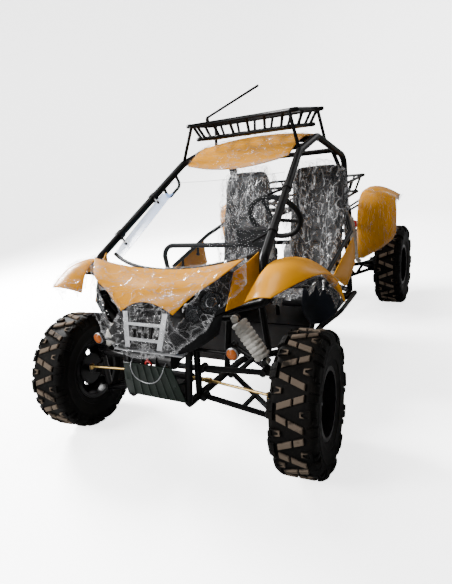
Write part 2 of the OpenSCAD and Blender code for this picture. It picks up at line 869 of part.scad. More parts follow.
// Bonnet: rows from the lip back to the windscreen
bonnet_half_w = 470;
bonnet_y = -185;
bonnet_l = 300;
bonnet_z = 787;
bonnet_h = 225;
bonnet_shares = [
    // edge width, edge length, edge height, bulge length, bulge height
    [0.32, 0.00, 0.00, 0.00, 0.25],
    [0.53, 0.12, 0.37, 0.02, 0.12],
    [0.75, 0.24, 0.66, 0.16, -0.04],
    [0.94, 0.62, 0.95, 0.02, -0.26]
];
bonnet_rows = [for (s = bonnet_shares)
    let (y = bonnet_y + s[1] * bonnet_l, z = bonnet_z + s[2] * bonnet_h)
    [[-s[0] * bonnet_half_w, y, z], [s[0] * bonnet_half_w, y, z], [0, s[3] * bonnet_l, s[4] * bonnet_h]]];

module bonnet() {
    color([1, 0.65, 0]) sheet(bonnet_rows, panel_t, 12, 4);
}

// Panels given by the corners of their rows, as shares of the panel's own box
function in_box(low, size, s) = [low[0] + size[0] * s[0], low[1] + size[1] * s[1], low[2] + size[2] * s[2]];
function rows_in(low, size, shares) =
    [for (s = shares) [in_box(low, size, s[0]), in_box(low, size, s[1]),
        [for (k = [0 : 2]) size[k] * s[2][k]]]];

// Dark nose cover on each side of the grille
nose_low = [110, -250, 610];
nose_size = [270, 150, 190];
nose_shares = [
    [[0.10, 0.40, 1.00], [0.02, 0.05, 0.10], [0, 0, 0]],
    [[0.33, 0.15, 0.58], [0.23, 0.15, 0.03], [0, -0.05, 0]],
    [[0.66, 0.55, 0.70], [0.52, 0.52, 0.10], [0, -0.05, 0]],
    [[0.97, 0.92, 0.91], [0.82, 0.95, 0.36], [0, 0, 0]]
];
nose_rows = rows_in(nose_low, nose_size, nose_shares);

module nose_cover() {
    color([0.06, 0.06, 0.06]) pair() sheet(nose_rows, panel_t, 4, 3);
}

// Grille slats and frame
grille_top = [118, -176, 800];
grille_foot = [92, -235, 632];
grille_slats = 7;
slat_r = 5;
trim_w = 28;
trim_t = 8;
trim_bar_shares = [0.22, 0.62];
trim_top_share = 0.94;

module grille() {
    color([0.05, 0.05, 0.05]) {
        for (end = [grille_top, grille_foot]) rod(flip(end), end, slat_r * 1.4);
        for (i = [0 : grille_slats - 1]) {
            side = 2 * i / (grille_slats - 1) - 1;
            rod([side * grille_top[0], grille_top[1], grille_top[2]],
                [side * grille_foot[0], grille_foot[1], grille_foot[2]], slat_r);
        }
    }
}

// Bright uprights and plain cross bars in front of the grille
module grille_trim() {
    rise = [0, grille_top[1] - grille_foot[1], grille_top[2] - grille_foot[2]];
    face = unit(cross([1, 0, 0], rise)) * (slat_r * 1.4 + seat_gap + trim_t);
    side = [trim_w / 2, 0, 0];
    half = unit(rise) * trim_w / 4;
    color([0.75, 0.75, 0.75]) {
        pair() sheet([for (share = [0, trim_top_share])
            let (end = between(grille_foot, grille_top, share) + face) [end - side, end + side, [0, 0, 0]]],
            trim_t, 2, 2);
        for (share = trim_bar_shares) {
            end = between(grille_foot, grille_top, share) + face;
            sheet([for (edge = [-1, 1]) [flip(end) + edge * half, end + edge * half,
                [0, 0, 0]]], trim_t, 2, 2);
        }
    }
}

// Headlamp housings with two round lamps each
lamp_low = [200, -232, 731];
lamp_size = [200, 198, 217];
lamp_shares = [
    [[0.50, 0.37, 0.77], [0.00, 0.02, 0.02], [0, 0, 0]],
    [[0.76, 0.68, 0.90], [0.45, 0.30, 0.14], [0.02, -0.06, 0]],
    [[1.00, 1.00, 1.00], [0.90, 0.60, 0.29], [0, 0, 0]]
];
lamp_rows = rows_in(lamp_low, lamp_size, lamp_shares);
lamp_spots = [[0.54, 1.15, 46], [0.62, 0.42, 36]];
lamp_depth = 16;

module lamp_bodies(extra) {
    for (s = lamp_spots) {
        p = sheet_point(lamp_rows, s[0], s[1]);
        n = sheet_normal(lamp_rows, s[0], s[1]);
        rod(p - n * lamp_depth, p + n * (lamp_depth / 2 + extra * overrun), s[2] + extra);
    }
}

module headlamps() {
    color([0.05, 0.05, 0.05]) pair() difference() {
        sheet(lamp_rows, panel_t, 6, 4);
        lamp_bodies(seat_gap);
    }
}

module headlamp_glasses() {
    color([0.85, 0.87, 0.9]) pair() lamp_bodies(0);
}

// Yellow cowl sides behind the headlamps
cowl_low = [385, -125, 790];
cowl_size = [88, 235, 215];
cowl_shares = [
    [[0.17, 0.42, 0.72], [0.02, 0.05, 0.02], [0, 0, 0]],
    [[0.55, 0.70, 0.84], [0.50, 0.50, 0.02], [0.15, 0, 0]],
    [[0.90, 1.00, 0.98], [0.88, 0.97, 0.05], [0.06, 0, 0]]
];
cowl_rows = rows_in(cowl_low, cowl_size, cowl_shares);

module cowl_sides() {
    color([1, 0.65, 0]) pair() sheet(cowl_rows, panel_t, 4, 3);
}

// Front fenders, from the nose of the fender to its dropped tail
fender_low = [470, -165, 689];
fender_size = [310, 511, 280];
fender_shares = [
    [[0.02, 0.12, 0.54], [0.50, 0.02, 0.70], [0, -0.03, 0.05]],
    [[0.14, 0.30, 0.86], [0.73, 0.28, 0.78], [0, -0.02, 0.10]],
    [[0.21, 0.50, 0.98], [0.89, 0.52, 0.78], [0, 0, 0.08]],
    [[0.36, 0.70, 0.96], [0.96, 0.74, 0.63], [0, 0.02, 0.06]],
    [[0.60, 0.84, 0.82], [0.98, 0.89, 0.39], [0, 0.02, 0.03]],
    [[0.74, 0.97, 0.40], [1.00, 1.00, 0.02], [0, 0.01, 0]]
];
fender_rows = rows_in(fender_low, fender_size, fender_shares);

module front_fenders() {
    color([1, 0.65, 0]) pair() sheet(fender_rows, panel_t, 7, 3);
}

// Black rounded mudguards that hang in front of the fenders' tails
guard_low = [560, 278, 562];
guard_size = [205, 76, 280];
guard_shares = [
    [[0.14, 1.00, 0.01], [0.50, 1.00, 0.05], [0, -0.05, -0.02]],
    [[0.00, 0.76, 0.26], [0.86, 0.76, 0.30], [0, -0.15, 0]],
    [[0.06, 0.50, 0.58], [0.99, 0.50, 0.60], [0, -0.15, 0]],
    [[0.18, 0.24, 0.84], [0.86, 0.24, 0.77], [0, -0.10, 0]],
    [[0.30, 0.00, 0.96], [0.70, 0.00, 0.96], [0, 0, 0.02]]
];
guard_rows = rows_in(guard_low, guard_size, guard_shares);

module mudguards() {
    color([0.05, 0.05, 0.05]) pair() sheet(guard_rows, panel_t, 5, 3);
}

// Roof panel between the cage tubes
roof_panel_share = 0.375758;
roof_length_share = 0.251948;
roof_gap = 41;
roof_rise = 90;
roof_panel_drop = 5;
roof_low = [roof_gap - roof_half_w, wheelbase * roof_panel_share, roof_z - roof_drop - roof_panel_drop];
roof_size = [2 * (roof_half_w - roof_gap), wheelbase * roof_length_share, roof_rise];
roof_shares = [
    [[0.02, 0.00, 0.00], [0.98, 0.00, 0.00], [0, 0, -0.05]],
    [[0.01, 0.23, 0.62], [0.99, 0.23, 0.62], [0, 0, 0.22]],
    [[0.00, 0.48, 0.97], [1.00, 0.48, 0.97], [0, 0, 0.32]],
    [[0.00, 0.79, 0.97], [1.00, 0.79, 0.97], [0, 0, 0.35]],
    [[0.00, 1.00, 0.60], [1.00, 1.00, 0.60], [0, 0, 0.42]]
];
roof_rows = rows_in(roof_low, roof_size, roof_shares);

module roof_panel() {
    color([1, 0.65, 0]) sheet(roof_rows, panel_t, 10, 3);
}

// Rear fenders: an upright front face that turns over the tyre
rear_fender_front = 420;
rear_fender_low = [455, wheelbase - rear_fender_front, 490];
rear_fender_size = [310, 640, 530];
rear_fender_shares = [
    [[0.00, 0.02, 0.00], [0.14, 0.02, 0.00], [0, 0, 0]],
    [[0.00, 0.01, 0.28], [0.86, 0.01, 0.28], [0, -0.03, 0]],
    [[0.02, 0.00, 0.60], [0.97, 0.00, 0.58], [0, -0.04, 0]],
    [[0.08, 0.01, 0.87], [0.96, 0.01, 0.80], [0, -0.03, 0.02]],
    [[0.14, 0.08, 0.98], [0.94, 0.08, 0.88], [0, 0, 0.05]],
    [[0.14, 0.30, 0.99], [0.98, 0.30, 0.88], [0, 0, 0.05]],
    [[0.12, 0.62, 0.97], [1.00, 0.62, 0.85], [0, 0, 0.05]],
    [[0.08, 1.00, 0.83], [0.95, 1.00, 0.73], [0, 0, 0.04]]
];
rear_fender_rows = rows_in(rear_fender_low, rear_fender_size, rear_fender_shares);

module rear_fenders() {
    color([1, 0.65, 0]) pair() sheet(rear_fender_rows, panel_t, 6, 3);
}

// Side panels below the side bars
side_panel_share = 0.350649;
side_length_share = 0.212121;
side_panel_gap = 20;
side_panel_low = [side_bar_half_w + side_panel_gap, wheelbase * side_panel_share, 534];
side_panel_size = [10, wheelbase * side_length_share, 270];
side_panel_shares = [
    [[0.5, 0.01, 0.54], [0.5, 0.03, 0.46], [0, 0, 0]],
    [[0.5, 0.28, 0.67], [0.5, 0.28, 0.22], [1, 0, 0]],
    [[0.5, 0.60, 0.82], [0.5, 0.56, 0.00], [1.5, 0, 0]],
    [[0.5, 0.98, 0.99], [0.5, 1.00, 0.30], [0.5, 0, 0]]
];
side_panel_rows = rows_in(side_panel_low, side_panel_size, side_panel_shares);

module side_panels() {
    color([1, 0.65, 0]) pair() sheet(side_panel_rows, panel_t, 4, 3);
}

// Curved windscreen inside the pillars, from its base up to its top edge
screen_bow = 150;
screen_shares = [
    // share up the pillar, inset and drop in tube radii, bow along and down
    [0.135, 1.50, 1.57, -1.00, -0.32],
    [0.421, 1.46, 0.87, -0.71, -0.17],
    [0.771, 1.98, -0.32, -0.43, -0.04]
];
screen_rows = [for (s = screen_shares)
    let (edge = on_line(cage_points, 2, s[0]) - [s[1] * cage_r, 0, s[2] * cage_r])
    [flip(edge), edge, [0, s[3] * screen_bow, s[4] * screen_bow]]];

module windscreen() {
    color([0.8, 0.85, 0.9, 0.4]) sheet(screen_rows, screen_t, 16, 5);
}

// Bucket seats: one shell from the front edge of the cushion up to the head
seat_share = 0.354978;
seat_hoop_gap = 135;
seat_y = wheelbase * seat_share;
seat_low = [0, seat_y, 500];
seat_size = [seat_w / 2, hoop_y - seat_hoop_gap - seat_y, 785];
seat_shares = [
    // half width, length, height, bulge length, bulge height
    [0.92, 0.00, 0.06, 0.00, -0.02],
    [1.00, 0.25, 0.05, 0.00, -0.06],
    [1.00, 0.55, 0.02, 0.02, -0.06],
    [0.99, 0.70, 0.13, 0.06, -0.02],
    [0.98, 0.80, 0.45, 0.09, 0.00],
    [0.95, 0.91, 0.74, 0.06, 0.00],
    [0.56, 0.99, 0.99, 0.01, 0.00]
];
seat_rows = [for (s = seat_shares) let (y = seat_low[1] + s[1] * seat_size[1],
    z = seat_low[2] + s[2] * seat_size[2])
    [[-s[0] * seat_size[0], y, z], [s[0] * seat_size[0], y, z],
        [0, s[3] * seat_size[1], s[4] * seat_size[2]]]];

module seat_left() {
    color([0.05, 0.05, 0.05]) translate([driver_x, 0, 0]) sheet(seat_rows, seat_t, 8, 3);
}

module seat_right() {
    color([0.05, 0.05, 0.05]) mirror([1, 0, 0]) seat_left();
}

// Seat feet on the floor
foot_r = 14;
foot_spots = [[0.2, 0.8], [0.8, 0.8], [0.2, 1.9], [0.8, 1.9]];

module seat_feet() {
    color([0.1, 0.1, 0.1]) pair() translate([driver_x, 0, 0]) for (s = foot_spots) {
        p = sheet_point(seat_rows, s[0], s[1]) - sheet_normal(seat_rows, s[0], s[1]) * (seat_t + seat_gap);
        n = sheet_normal(seat_rows, s[0], s[1]);
        elbow = p - n * foot_r * 2;
        rod(p, elbow, foot_r);
        translate(elbow) sphere(r = foot_r + bend_swell);
        rod(elbow, [elbow[0], elbow[1], deck_z + seat_gap], foot_r);
    }
}

// Dashboard: a hoop from the bulkhead with an instrument pod
dash_half_w = 350;
dash_share = 0.203463;
dash_y = wheelbase * dash_share;
dash_z = 950;
dash_bend = 60;
pod_size = [190, 70, 90];

module dash_tube() {
    pipe([tower_back, [dash_half_w, dash_y, dash_z], [-dash_half_w, dash_y, dash_z], flip(tower_back)],
        arm_r, dash_bend);
}

module dashboard() {
    color([0.06, 0.06, 0.06]) difference() {
        union() {
            dash_tube();
            translate([driver_x - pod_size[0] / 2, dash_y - pod_size[1] / 2, dash_z]) cube(pod_size);
        }
        towers();
    }
}

// Basket racks: a top ring, a floor of slats and posts between them
module basket(top, foot, slats, posts, bend) {
    function corner(c, sx, rear) = [sx * c[rear ? 2 : 0], c[rear ? 3 : 1], c[4]];
    for (c = [top, foot]) {
        middle = [0, c[1], c[4]];
        pipe([middle, corner(c, 1, false), corner(c, 1, true), corner(c, -1, true), corner(c, -1,
            false), middle],
            rack_r, bend);
    }
    for (i = [1 : slats]) {
        share = 2 * i / (slats + 1) - 1;
        rod([share * foot[0], foot[1], foot[4]], [share * foot[2], foot[3], foot[4]], rack_r * 0.7);
    }
    for (i = [0 : posts], end = [1, 3]) {
        share = 0.8 * (2 * i / posts - 1);
        rod([share * foot[end - 1], foot[end], foot[4]],
            [share * top[end - 1], top[end], top[4]], rack_r * 0.7);
    }
    for (side = [-1, 1], share = [0.25, 0.75]) {
        low = between(corner(foot, side, false), corner(foot, side, true), share);
        rod(low, between(corner(top, side, false), corner(top, side, true), share), rack_r * 0.7);
    }
}

// Roof rack: [front half width, front place, rear half width, rear place, height] of the top ring and floor
roof_rack_front_share = 0.41342;
roof_rack_rear_share = 0.582251;
rack_splay = 35;
roof_rack_front_y = wheelbase * roof_rack_front_share;
roof_rack_rear_y = wheelbase * roof_rack_rear_share;
roof_rack_top = [372, roof_rack_front_y, 420, roof_rack_rear_y, 1622];
roof_rack_foot = [330, roof_rack_front_y + rack_splay, 370, roof_rack_rear_y - rack_splay, 1534];
roof_rack_leg_shares = [0.02, 0.30];
leg_top_share = 0.90;

module roof_rack() {
    color([0.07, 0.07, 0.07]) difference() {
        union() {
            basket(roof_rack_top, roof_rack_foot, 5, 5, rack_r * 4);
            pair() {
                rod(on_line(cage_points, 3, roof_rack_leg_shares[0]),
                    [roof_rack_top[0] * leg_top_share, roof_rack_top[1], roof_rack_top[4]], rack_r * 0.9);
                rod(on_line(cage_points, 4, roof_rack_leg_shares[1]),
                    [roof_rack_top[2] * leg_top_share, roof_rack_top[3], roof_rack_top[4]], rack_r * 0.9);
            }
        }
        cage();
    }
}

rear_rack_lead = 510;
rear_rack_l = 570;
rear_splay = 40;
rear_rack_y = wheelbase - rear_rack_lead;
rear_rack_top = [420, rear_rack_y, 420, rear_rack_y + rear_rack_l, 1098];
rear_rack_foot = [370, rear_rack_y + rear_splay, 370, rear_rack_y + rear_rack_l - rear_splay, 970];

module rear_rack() {
    color([0.07, 0.07, 0.07]) basket(rear_rack_top, rear_rack_foot, 5, 5, rack_r * 4);
}

// Legs of the rear rack, from the rear frame to just under the basket
module rear_rack_legs() {
    for (i = [0, 1]) {
        y = rear_rack_foot[1 + 2 * i];
        share = (y - rear_points[1][1]) / (rear_points[2][1] - rear_points[1][1]);
        foot = on_line(rear_points, 1, share);
        rod(foot, [foot[0], y, rear_rack_foot[4] - rack_r - seat_gap], rack_r);
    }
}

// Whip antenna on the roof rack
antenna_r = 3.5;
antenna_share = 0.562771;
antenna_y = wheelbase * antenna_share;
antenna_foot_z = 40;
antenna_tip = [0, antenna_y, 1822];

module antenna() {
    share = (antenna_y - roof_rack_top[1]) / (roof_rack_top[3] - roof_rack_top[1]);
    base = [-(roof_rack_top[0] + (roof_rack_top[2] - roof_rack_top[0]) * share), antenna_y,
        roof_rack_top[4]];
    start = base + [0, 0, rack_r + seat_gap];
    color([0.03, 0.03, 0.03]) {
        translate(start) cylinder(r = rack_r, h = antenna_foot_z);
        pipe([start, start + [0, 0, antenna_foot_z + rack_r], antenna_tip], antenna_r, rack_r);
    }
}

// Ribbed skid plate under the nose
skid_low = [-175, -248, 367];
skid_size = [350, 24, 185];
skid_shares = [
    [[0.00, 1.00, 0.00], [1.00, 1.00, 0.00], [0, 0, 0]],
    [[0.04, 0.40, 0.50], [0.96, 0.40, 0.50], [0, 0, 0]],
    [[0.10, 0.00, 1.00], [0.90, 0.00, 1.00], [0, 0, 0]]
];
skid_rows = rows_in(skid_low, skid_size, skid_shares);
skid_ribs = 6;
skid_bolt_share = 0.94;
rib_r = 5;

module skid_plate() {
    color([0.12, 0.18, 0.12]) difference() {
        union() {
            sheet(skid_rows, panel_t, 6, 2);
            for (i = [1 : skid_ribs]) {
                u = i / (skid_ribs + 1);
                rod(sheet_point(skid_rows, u, 0.1), sheet_point(skid_rows, u, 1.9), rib_r);
            }
            pair() rod(sheet_point(skid_rows, skid_bolt_share, 1), between(rail_points[0], tower_nose,
                0.32), rib_r);
        }
        towers();
    }
}

// Winch between the nose posts, its drum on a bright plate
winch_y = -195;
winch_z = 565;
winch_half_l = 125;
winch_r = 32;
winch_flange_r = 40;
winch_flange_t = 14;
plate_t = 6;
plate_l = 70;

module winch() {
    color([0.08, 0.08, 0.08]) {
        translate([-winch_half_l, winch_y, winch_z]) rotate([0, 90, 0])
            cylinder(r = winch_r, h = 2 * winch_half_l);
        for (x = [-winch_half_l, -winch_half_l / 3, winch_half_l / 3, winch_half_l])
            translate([x - winch_flange_t / 2, winch_y, winch_z]) rotate([0, 90, 0])
                cylinder(r = winch_flange_r, h = winch_flange_t);
    }
}

module winch_plate() {
    color([0.75, 0.75, 0.75]) difference() {
        translate([-tower_nose_half_w, winch_y - plate_l / 2, winch_z + winch_flange_r + seat_gap])
            cube([2 * tower_nose_half_w, plate_l, plate_t]);
        towers();
    }
}

// Hook on the winch cable
hook_r = 16;
hook_rod_r = 5;

module tow_hook() {
    y = winch_y - winch_r - hook_rod_r - seat_gap;
    color([0.7, 0.05, 0.05]) {
        translate([0, y, winch_z - hook_r]) rotate([90, 0, 0]) rotate_extrude()
            translate([hook_r, 0]) circle(r = hook_rod_r);
        rod([0, y, winch_z], [0, y, winch_z + hook_r], hook_rod_r);
    }
}

// Engine: a round crankcase with a belt cover on one side, a finned barrel and a head
transaxle_r = 105;
engine_axle_gap = 55;
engine_lead = 60;
engine_y = engine_front_y + engine_lead;
engine_l = wheelbase - transaxle_r - engine_axle_gap - engine_y;
engine_end_y = engine_y + engine_l;
engine_lift = 60;
engine_z = rail_z + engine_lift;
case_r = 120;
case_half_w = 140;
case_share = 0.45;
cover_t = 60;
cover_drum_r = 100;
cover_shares = [[-0.30, 0.10], [0.55, 0.30]];
fan_r = 90;
fan_t = 40;
barrel_r = 68;
fin_r = 92;
fin_pitch = 18;
fin_count = 7;
barrel_tilt = 12;
head_h = 56;
port_r = 30;
port_x = 90;
mount_r = 16;
mount_shares = [0.25, 0.70];

module engine() {
    middle = [0, engine_y + engine_l * case_share, engine_z + case_r];
    fins = fin_count * fin_pitch;
    color([0.25, 0.25, 0.26]) difference() {
        union() {
            translate(middle - [case_half_w, 0, 0]) rotate([0, 90, 0])
                cylinder(r = case_r, h = 2 * case_half_w);
            for (s = cover_shares)
                translate(middle + [case_half_w - overrun, s[0] * case_r, s[1] * case_r]) rotate([0, 90, 0])
                    cylinder(r1 = cover_drum_r, r2 = cover_drum_r - overrun, h = cover_t);
            translate(middle - [case_half_w + fan_t - overrun, 0, 0]) rotate([0, 90, 0])
                cylinder(r1 = fan_r - overrun, r2 = fan_r, h = fan_t);
            translate(middle + [0, 0, case_r - 2 * fin_pitch]) rotate([barrel_tilt, 0, 0])
                rotate_extrude() polygon(concat(
                [[0, 0]],
                [for (i = [0 : fin_count - 1]) each [
                    [barrel_r, i * fin_pitch], [barrel_r, (i + 0.5) * fin_pitch],
                    [fin_r, (i + 0.5) * fin_pitch], [fin_r, (i + 1) * fin_pitch]
                ]],
                [[barrel_r + overrun, fins], [barrel_r + overrun, fins + head_h - overrun],
                    [barrel_r, fins + head_h], [0, fins + head_h]]
            ));
            rod([port_x, middle[1], port_z], [port_x, engine_end_y, port_z], port_r);
            rod([port_x, middle[1], port_z], [0, middle[1], port_z], port_r - overrun);
            for (share = mount_shares, side = [-1, 1]) {
                y = engine_y + engine_l * share;
                end = rail_at(y);
                rod([side * end[0], y, end[2]],
                    [side * case_half_w / 2, y, engine_z + 2 * mount_r], mount_r);
            }
            for (share = mount_shares) {
                y = engine_y + engine_l * share;
                rod([-case_half_w / 2, y, engine_z + 2 * mount_r],
                    [case_half_w / 2, y, engine_z + 2 * mount_r], 2 * mount_r);
            }
        }
        rails();
    }
}

// Transaxle: a drum across the axle with ribs, and a bell that reaches the engine
bell_r = 80;
bell_lift = 75;
bell_z = axle_z + bell_lift;
rib_t = 10;
rib_h = 8;
rib_shares = [-0.7, 0, 0.7];

module transaxle() {
    back = engine_end_y + seat_gap;
    color([0.35, 0.35, 0.36]) {
        translate([-transaxle_half_w, wheelbase, axle_z]) rotate([0, 90, 0])
            cylinder(r = transaxle_r - rib_h, h = 2 * transaxle_half_w);
        for (share = rib_shares)
            translate([share * transaxle_half_w - rib_t / 2, wheelbase, axle_z]) rotate([0, 90, 0])
                cylinder(r = transaxle_r, h = rib_t);
        translate([0, back, bell_z]) rotate([-90, 0, 0])
            cylinder(r1 = bell_r, r2 = bell_r * 0.8, h = wheelbase - back);
    }
}

// Exhaust: a banded silencer across the tail, its pipe from the engine and its outlet
silencer_r = 65;
silencer_half_l = 190;
silencer_reach = 150;
silencer_y = wheelbase + silencer_reach;
silencer_z = 690;
cap_h = 18;
band_t = 14;
band_h = 4;
band_shares = [-0.5, 0.5];
exhaust_pipe_r = 22;
port_z = silencer_z - silencer_r / 2;
outlet_r = 20;
outlet_l = 60;

module exhaust() {
    color([0.4, 0.4, 0.4]) {
        translate([-silencer_half_l, silencer_y, silencer_z]) rotate([0, 90, 0]) rotate_extrude()
            polygon(concat(
            [[0, 0], [silencer_r - cap_h, 0], [silencer_r, cap_h]],
            [for (share = band_shares) let (x = silencer_half_l * (1 + share)) each [
                [silencer_r, x - band_t], [silencer_r + band_h, x - band_t],
                [silencer_r + band_h, x + band_t], [silencer_r, x + band_t]
            ]],
            [[silencer_r, 2 * silencer_half_l - cap_h], [silencer_r - cap_h, 2 * silencer_half_l],
                [0, 2 * silencer_half_l]]
        ));
        rod([port_x, engine_end_y + seat_gap, port_z], [port_x, silencer_y, port_z], exhaust_pipe_r);
        translate([-silencer_half_l / 2, silencer_y, silencer_z]) rotate([-90, 0, 0]) difference() {
            cylinder(r = outlet_r, h = silencer_r + outlet_l);
            translate([0, 0, silencer_r + overrun]) cylinder(r = outlet_r - overrun, h = outlet_l);
        }
    }
}

// Amber turn lamps on stalks and red tail lamps on the bumper
turn_lamp = [400, -105, 600];
turn_r = 30;
turn_l = 40;
tail_lamp_r = 38;
tail_lamp_l = 26;
tail_lamp_share = 0.72;

module turn_lamps() {
    color([1, 0.5, 0.05]) pair() translate(turn_lamp) rotate([90, 0, 0]) cylinder(r = turn_r, h = turn_l);
}

module tail_lamps() {
    color([0.7, 0.05, 0.05]) pair()
        translate([bumper_half_w * tail_lamp_share, bumper_y + rail_r - tail_lamp_l,
            bumper_z + rail_r + tail_lamp_r + seat_gap])
            rotate([-90, 0, 0]) cylinder(r = tail_lamp_r, h = tail_lamp_l);
}

// Panel brackets: a tapered foot just under the panel and a strut to the frame
bracket_r = 9;
clamp_r = 7;
bonnet_bracket_ys = [-60, 100];
nose_bracket_y = -110;
lamp_bracket_ys = [-110, -20];
cowl_bracket_y = 60;
clamp_shares = [0.25, 0.62];
clamp_ring_t = 5;
clamp_ring_l = 34;

module bracket(rows, u, v, t, target, r = bracket_r) {
    n = sheet_normal(rows, u, v) * (t < 0 ? 1 : -1);
    tip = sheet_point(rows, u, v) + n * (max(t, 0) + seat_gap);
    foot = tip + n * 2 * r;
    along(foot + n * r, tip) rotate_extrude()
        polygon([[0, 0], [r, 0], [r, 2 * r], [r / 6, 3 * r], [0, 3 * r]]);
    rod(foot, target, r - 2 * bend_swell);
}

function side_bar_at(y) =
    between([side_bar_half_w, side_bar_front_y, side_bar_front_z],
        [side_bar_half_w, side_bar_rear_y, side_bar_rear_z],
        (y - side_bar_front_y) / (side_bar_rear_y - side_bar_front_y));

module side_tube() {
    rod(side_bar_at(side_bar_front_y), side_bar_at(side_bar_rear_y), arm_r);
}

module panel_brackets() {
    slat = between(grille_top, grille_foot, 0.5);
    back = unit(cross([1, 0, 0], grille_foot - grille_top)) * (slat_r + seat_gap + bracket_r);
    heel = slat + [0, abs(back[1]), -abs(back[2])];
    stalk_y = turn_lamp[1] - turn_l / 2;
    color([0.06, 0.06, 0.06]) difference() {
        pair() {
            bracket(bonnet_rows, 11 / 12, 2, panel_t, tower_at(bonnet_bracket_ys[0]));
            bracket(bonnet_rows, 11 / 12, 2.75, panel_t, tower_at(bonnet_bracket_ys[1]));
            bracket(nose_rows, 0.5, 1, panel_t, tower_nose);
            bracket(nose_rows, 0.5, 7 / 3, panel_t, tower_at(nose_bracket_y));
            bracket(lamp_rows, 1 / 3, 0.25, panel_t, tower_at(lamp_bracket_ys[0]));
            bracket(lamp_rows, 1 / 6, 1.75, panel_t, tower_at(lamp_bracket_ys[1]));
            bracket(cowl_rows, 0.5, 1, panel_t, tower_at(cowl_bracket_y));
            bracket(fender_rows, 1 / 7, 1, panel_t, on_line(cage_points, 1, 0.62));
            bracket(fender_rows, 1 / 7, 2, panel_t, on_line(cage_points, 1, 0.50));
            bracket(guard_rows, 1 / 5, 3, -1, on_line(cage_points, 1, 0.40));
            bracket(roof_rows, 0.9, 5 / 3, panel_t, on_line(cage_points, 3, 0.61));
            bracket(roof_rows, 0.9, 3, panel_t, on_line(cage_points, 4, 0.22));
            bracket(rear_fender_rows, 1 / 6, 3, panel_t, on_line(rear_points, 1, 0.20));
            bracket(rear_fender_rows, 1 / 6, 6, panel_t, on_line(rear_points, 1, 0.66));
            bracket(side_panel_rows, 0.25, 1, panel_t, side_bar_at(sheet_point(side_panel_rows, 0.25,
                1)[1]));
            bracket(side_panel_rows, 0.25, 7 / 3, panel_t, side_bar_at(sheet_point(side_panel_rows,
                0.25, 7 / 3)[1]));
            rear_rack_legs();
            rod(heel, tower_nose, bracket_r);
            rod([turn_lamp[0] - turn_r - seat_gap, stalk_y, turn_lamp[2]], post_at(stalk_y,
                turn_lamp[2]), bracket_r);
        }
        towers();
        cage();
        rear_rails();
        pair() side_tube();
    }
}

module clamp_ring(share) {
    middle = on_line(cage_points, 2, share);
    half = unit(cage_points[3] - cage_points[2]) * clamp_ring_l / 2;
    rod(middle - half, middle + half, cage_r + clamp_ring_t);
}

module windscreen_clamps() {
    color([0.05, 0.05, 0.05]) difference() {
        pair() for (i = [0, 1]) {
            clamp_ring(clamp_shares[i]);
            bracket(screen_rows, 15 / 16, i + 0.4, -1, on_line(cage_points, 2, clamp_shares[i]), clamp_r);
        }
        pair() rod(cage_points[2], cage_points[3], cage_r + seat_gap);
    }
}

placed() frame_rails();
placed() frame_crossmembers();
placed() front_towers();
placed() rear_frame();
placed() rear_bumper();
placed() cage_sides();
placed() cage_crossbars();
placed() cage_stays();
placed() side_bars();
placed() floor_pan();
placed() front_arms();
placed() front_shocks();
placed() trailing_arms();
placed() rear_shocks();
placed() drive_shafts();
placed() knuckle_left();
placed() knuckle_right();
placed() front_rim_left();
placed() front_rim_right();
placed() front_tyre_left();
placed() front_tyre_right();
placed() rear_rim_left();
placed() rear_rim_right();
placed() rear_tyre_left();
placed() rear_tyre_right();
placed() rack_housing();
placed() tie_rods();
placed() steering_column();
placed() steering_wheel();
placed() bonnet();
placed() nose_cover();
placed() grille();
placed() grille_trim();
placed() headlamps();
placed() headlamp_glasses();
placed() cowl_sides();
placed() front_fenders();
placed() mudguards();
placed() roof_panel();
placed() rear_fenders();
placed() side_panels();
placed() windscreen();
placed() windscreen_clamps();
placed() seat_left();
placed() seat_right();
placed() seat_feet();
placed() dashboard();
placed() roof_rack();
placed() rear_rack();
placed() antenna();
placed() skid_plate();
placed() winch();
placed() winch_plate();
placed() tow_hook();
placed() engine();
placed() transaxle();
placed() exhaust();
placed() turn_lamps();
placed() tail_lamps();
placed() panel_brackets();
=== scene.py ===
import bpy
import bmesh
import math
from mathutils import Matrix, Vector, noise
from mathutils.bvhtree import BVHTree


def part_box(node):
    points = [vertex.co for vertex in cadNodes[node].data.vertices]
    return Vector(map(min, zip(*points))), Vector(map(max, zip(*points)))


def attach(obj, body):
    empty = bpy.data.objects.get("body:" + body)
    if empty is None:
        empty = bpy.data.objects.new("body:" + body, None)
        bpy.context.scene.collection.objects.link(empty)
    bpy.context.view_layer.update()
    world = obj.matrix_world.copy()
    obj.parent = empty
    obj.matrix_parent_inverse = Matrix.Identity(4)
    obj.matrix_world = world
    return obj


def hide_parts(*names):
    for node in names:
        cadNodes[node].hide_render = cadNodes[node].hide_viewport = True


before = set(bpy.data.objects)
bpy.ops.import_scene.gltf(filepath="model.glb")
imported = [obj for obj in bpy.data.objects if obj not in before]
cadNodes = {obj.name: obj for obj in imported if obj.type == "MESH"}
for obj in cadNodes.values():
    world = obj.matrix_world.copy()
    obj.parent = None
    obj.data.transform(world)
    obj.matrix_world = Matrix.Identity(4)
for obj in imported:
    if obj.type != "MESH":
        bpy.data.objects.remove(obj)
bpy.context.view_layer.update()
print("frame loaded:", len(cadNodes), "nodes")


# helpers for objects, meshes and shader nodes
def addObject(name, data):
    thing = bpy.data.objects.new(name, data)
    bpy.context.scene.collection.objects.link(thing)
    return thing


def asMesh(name, bm):
    mesh = bpy.data.meshes.new(name)
    bm.to_mesh(mesh)
    bm.free()
    return mesh


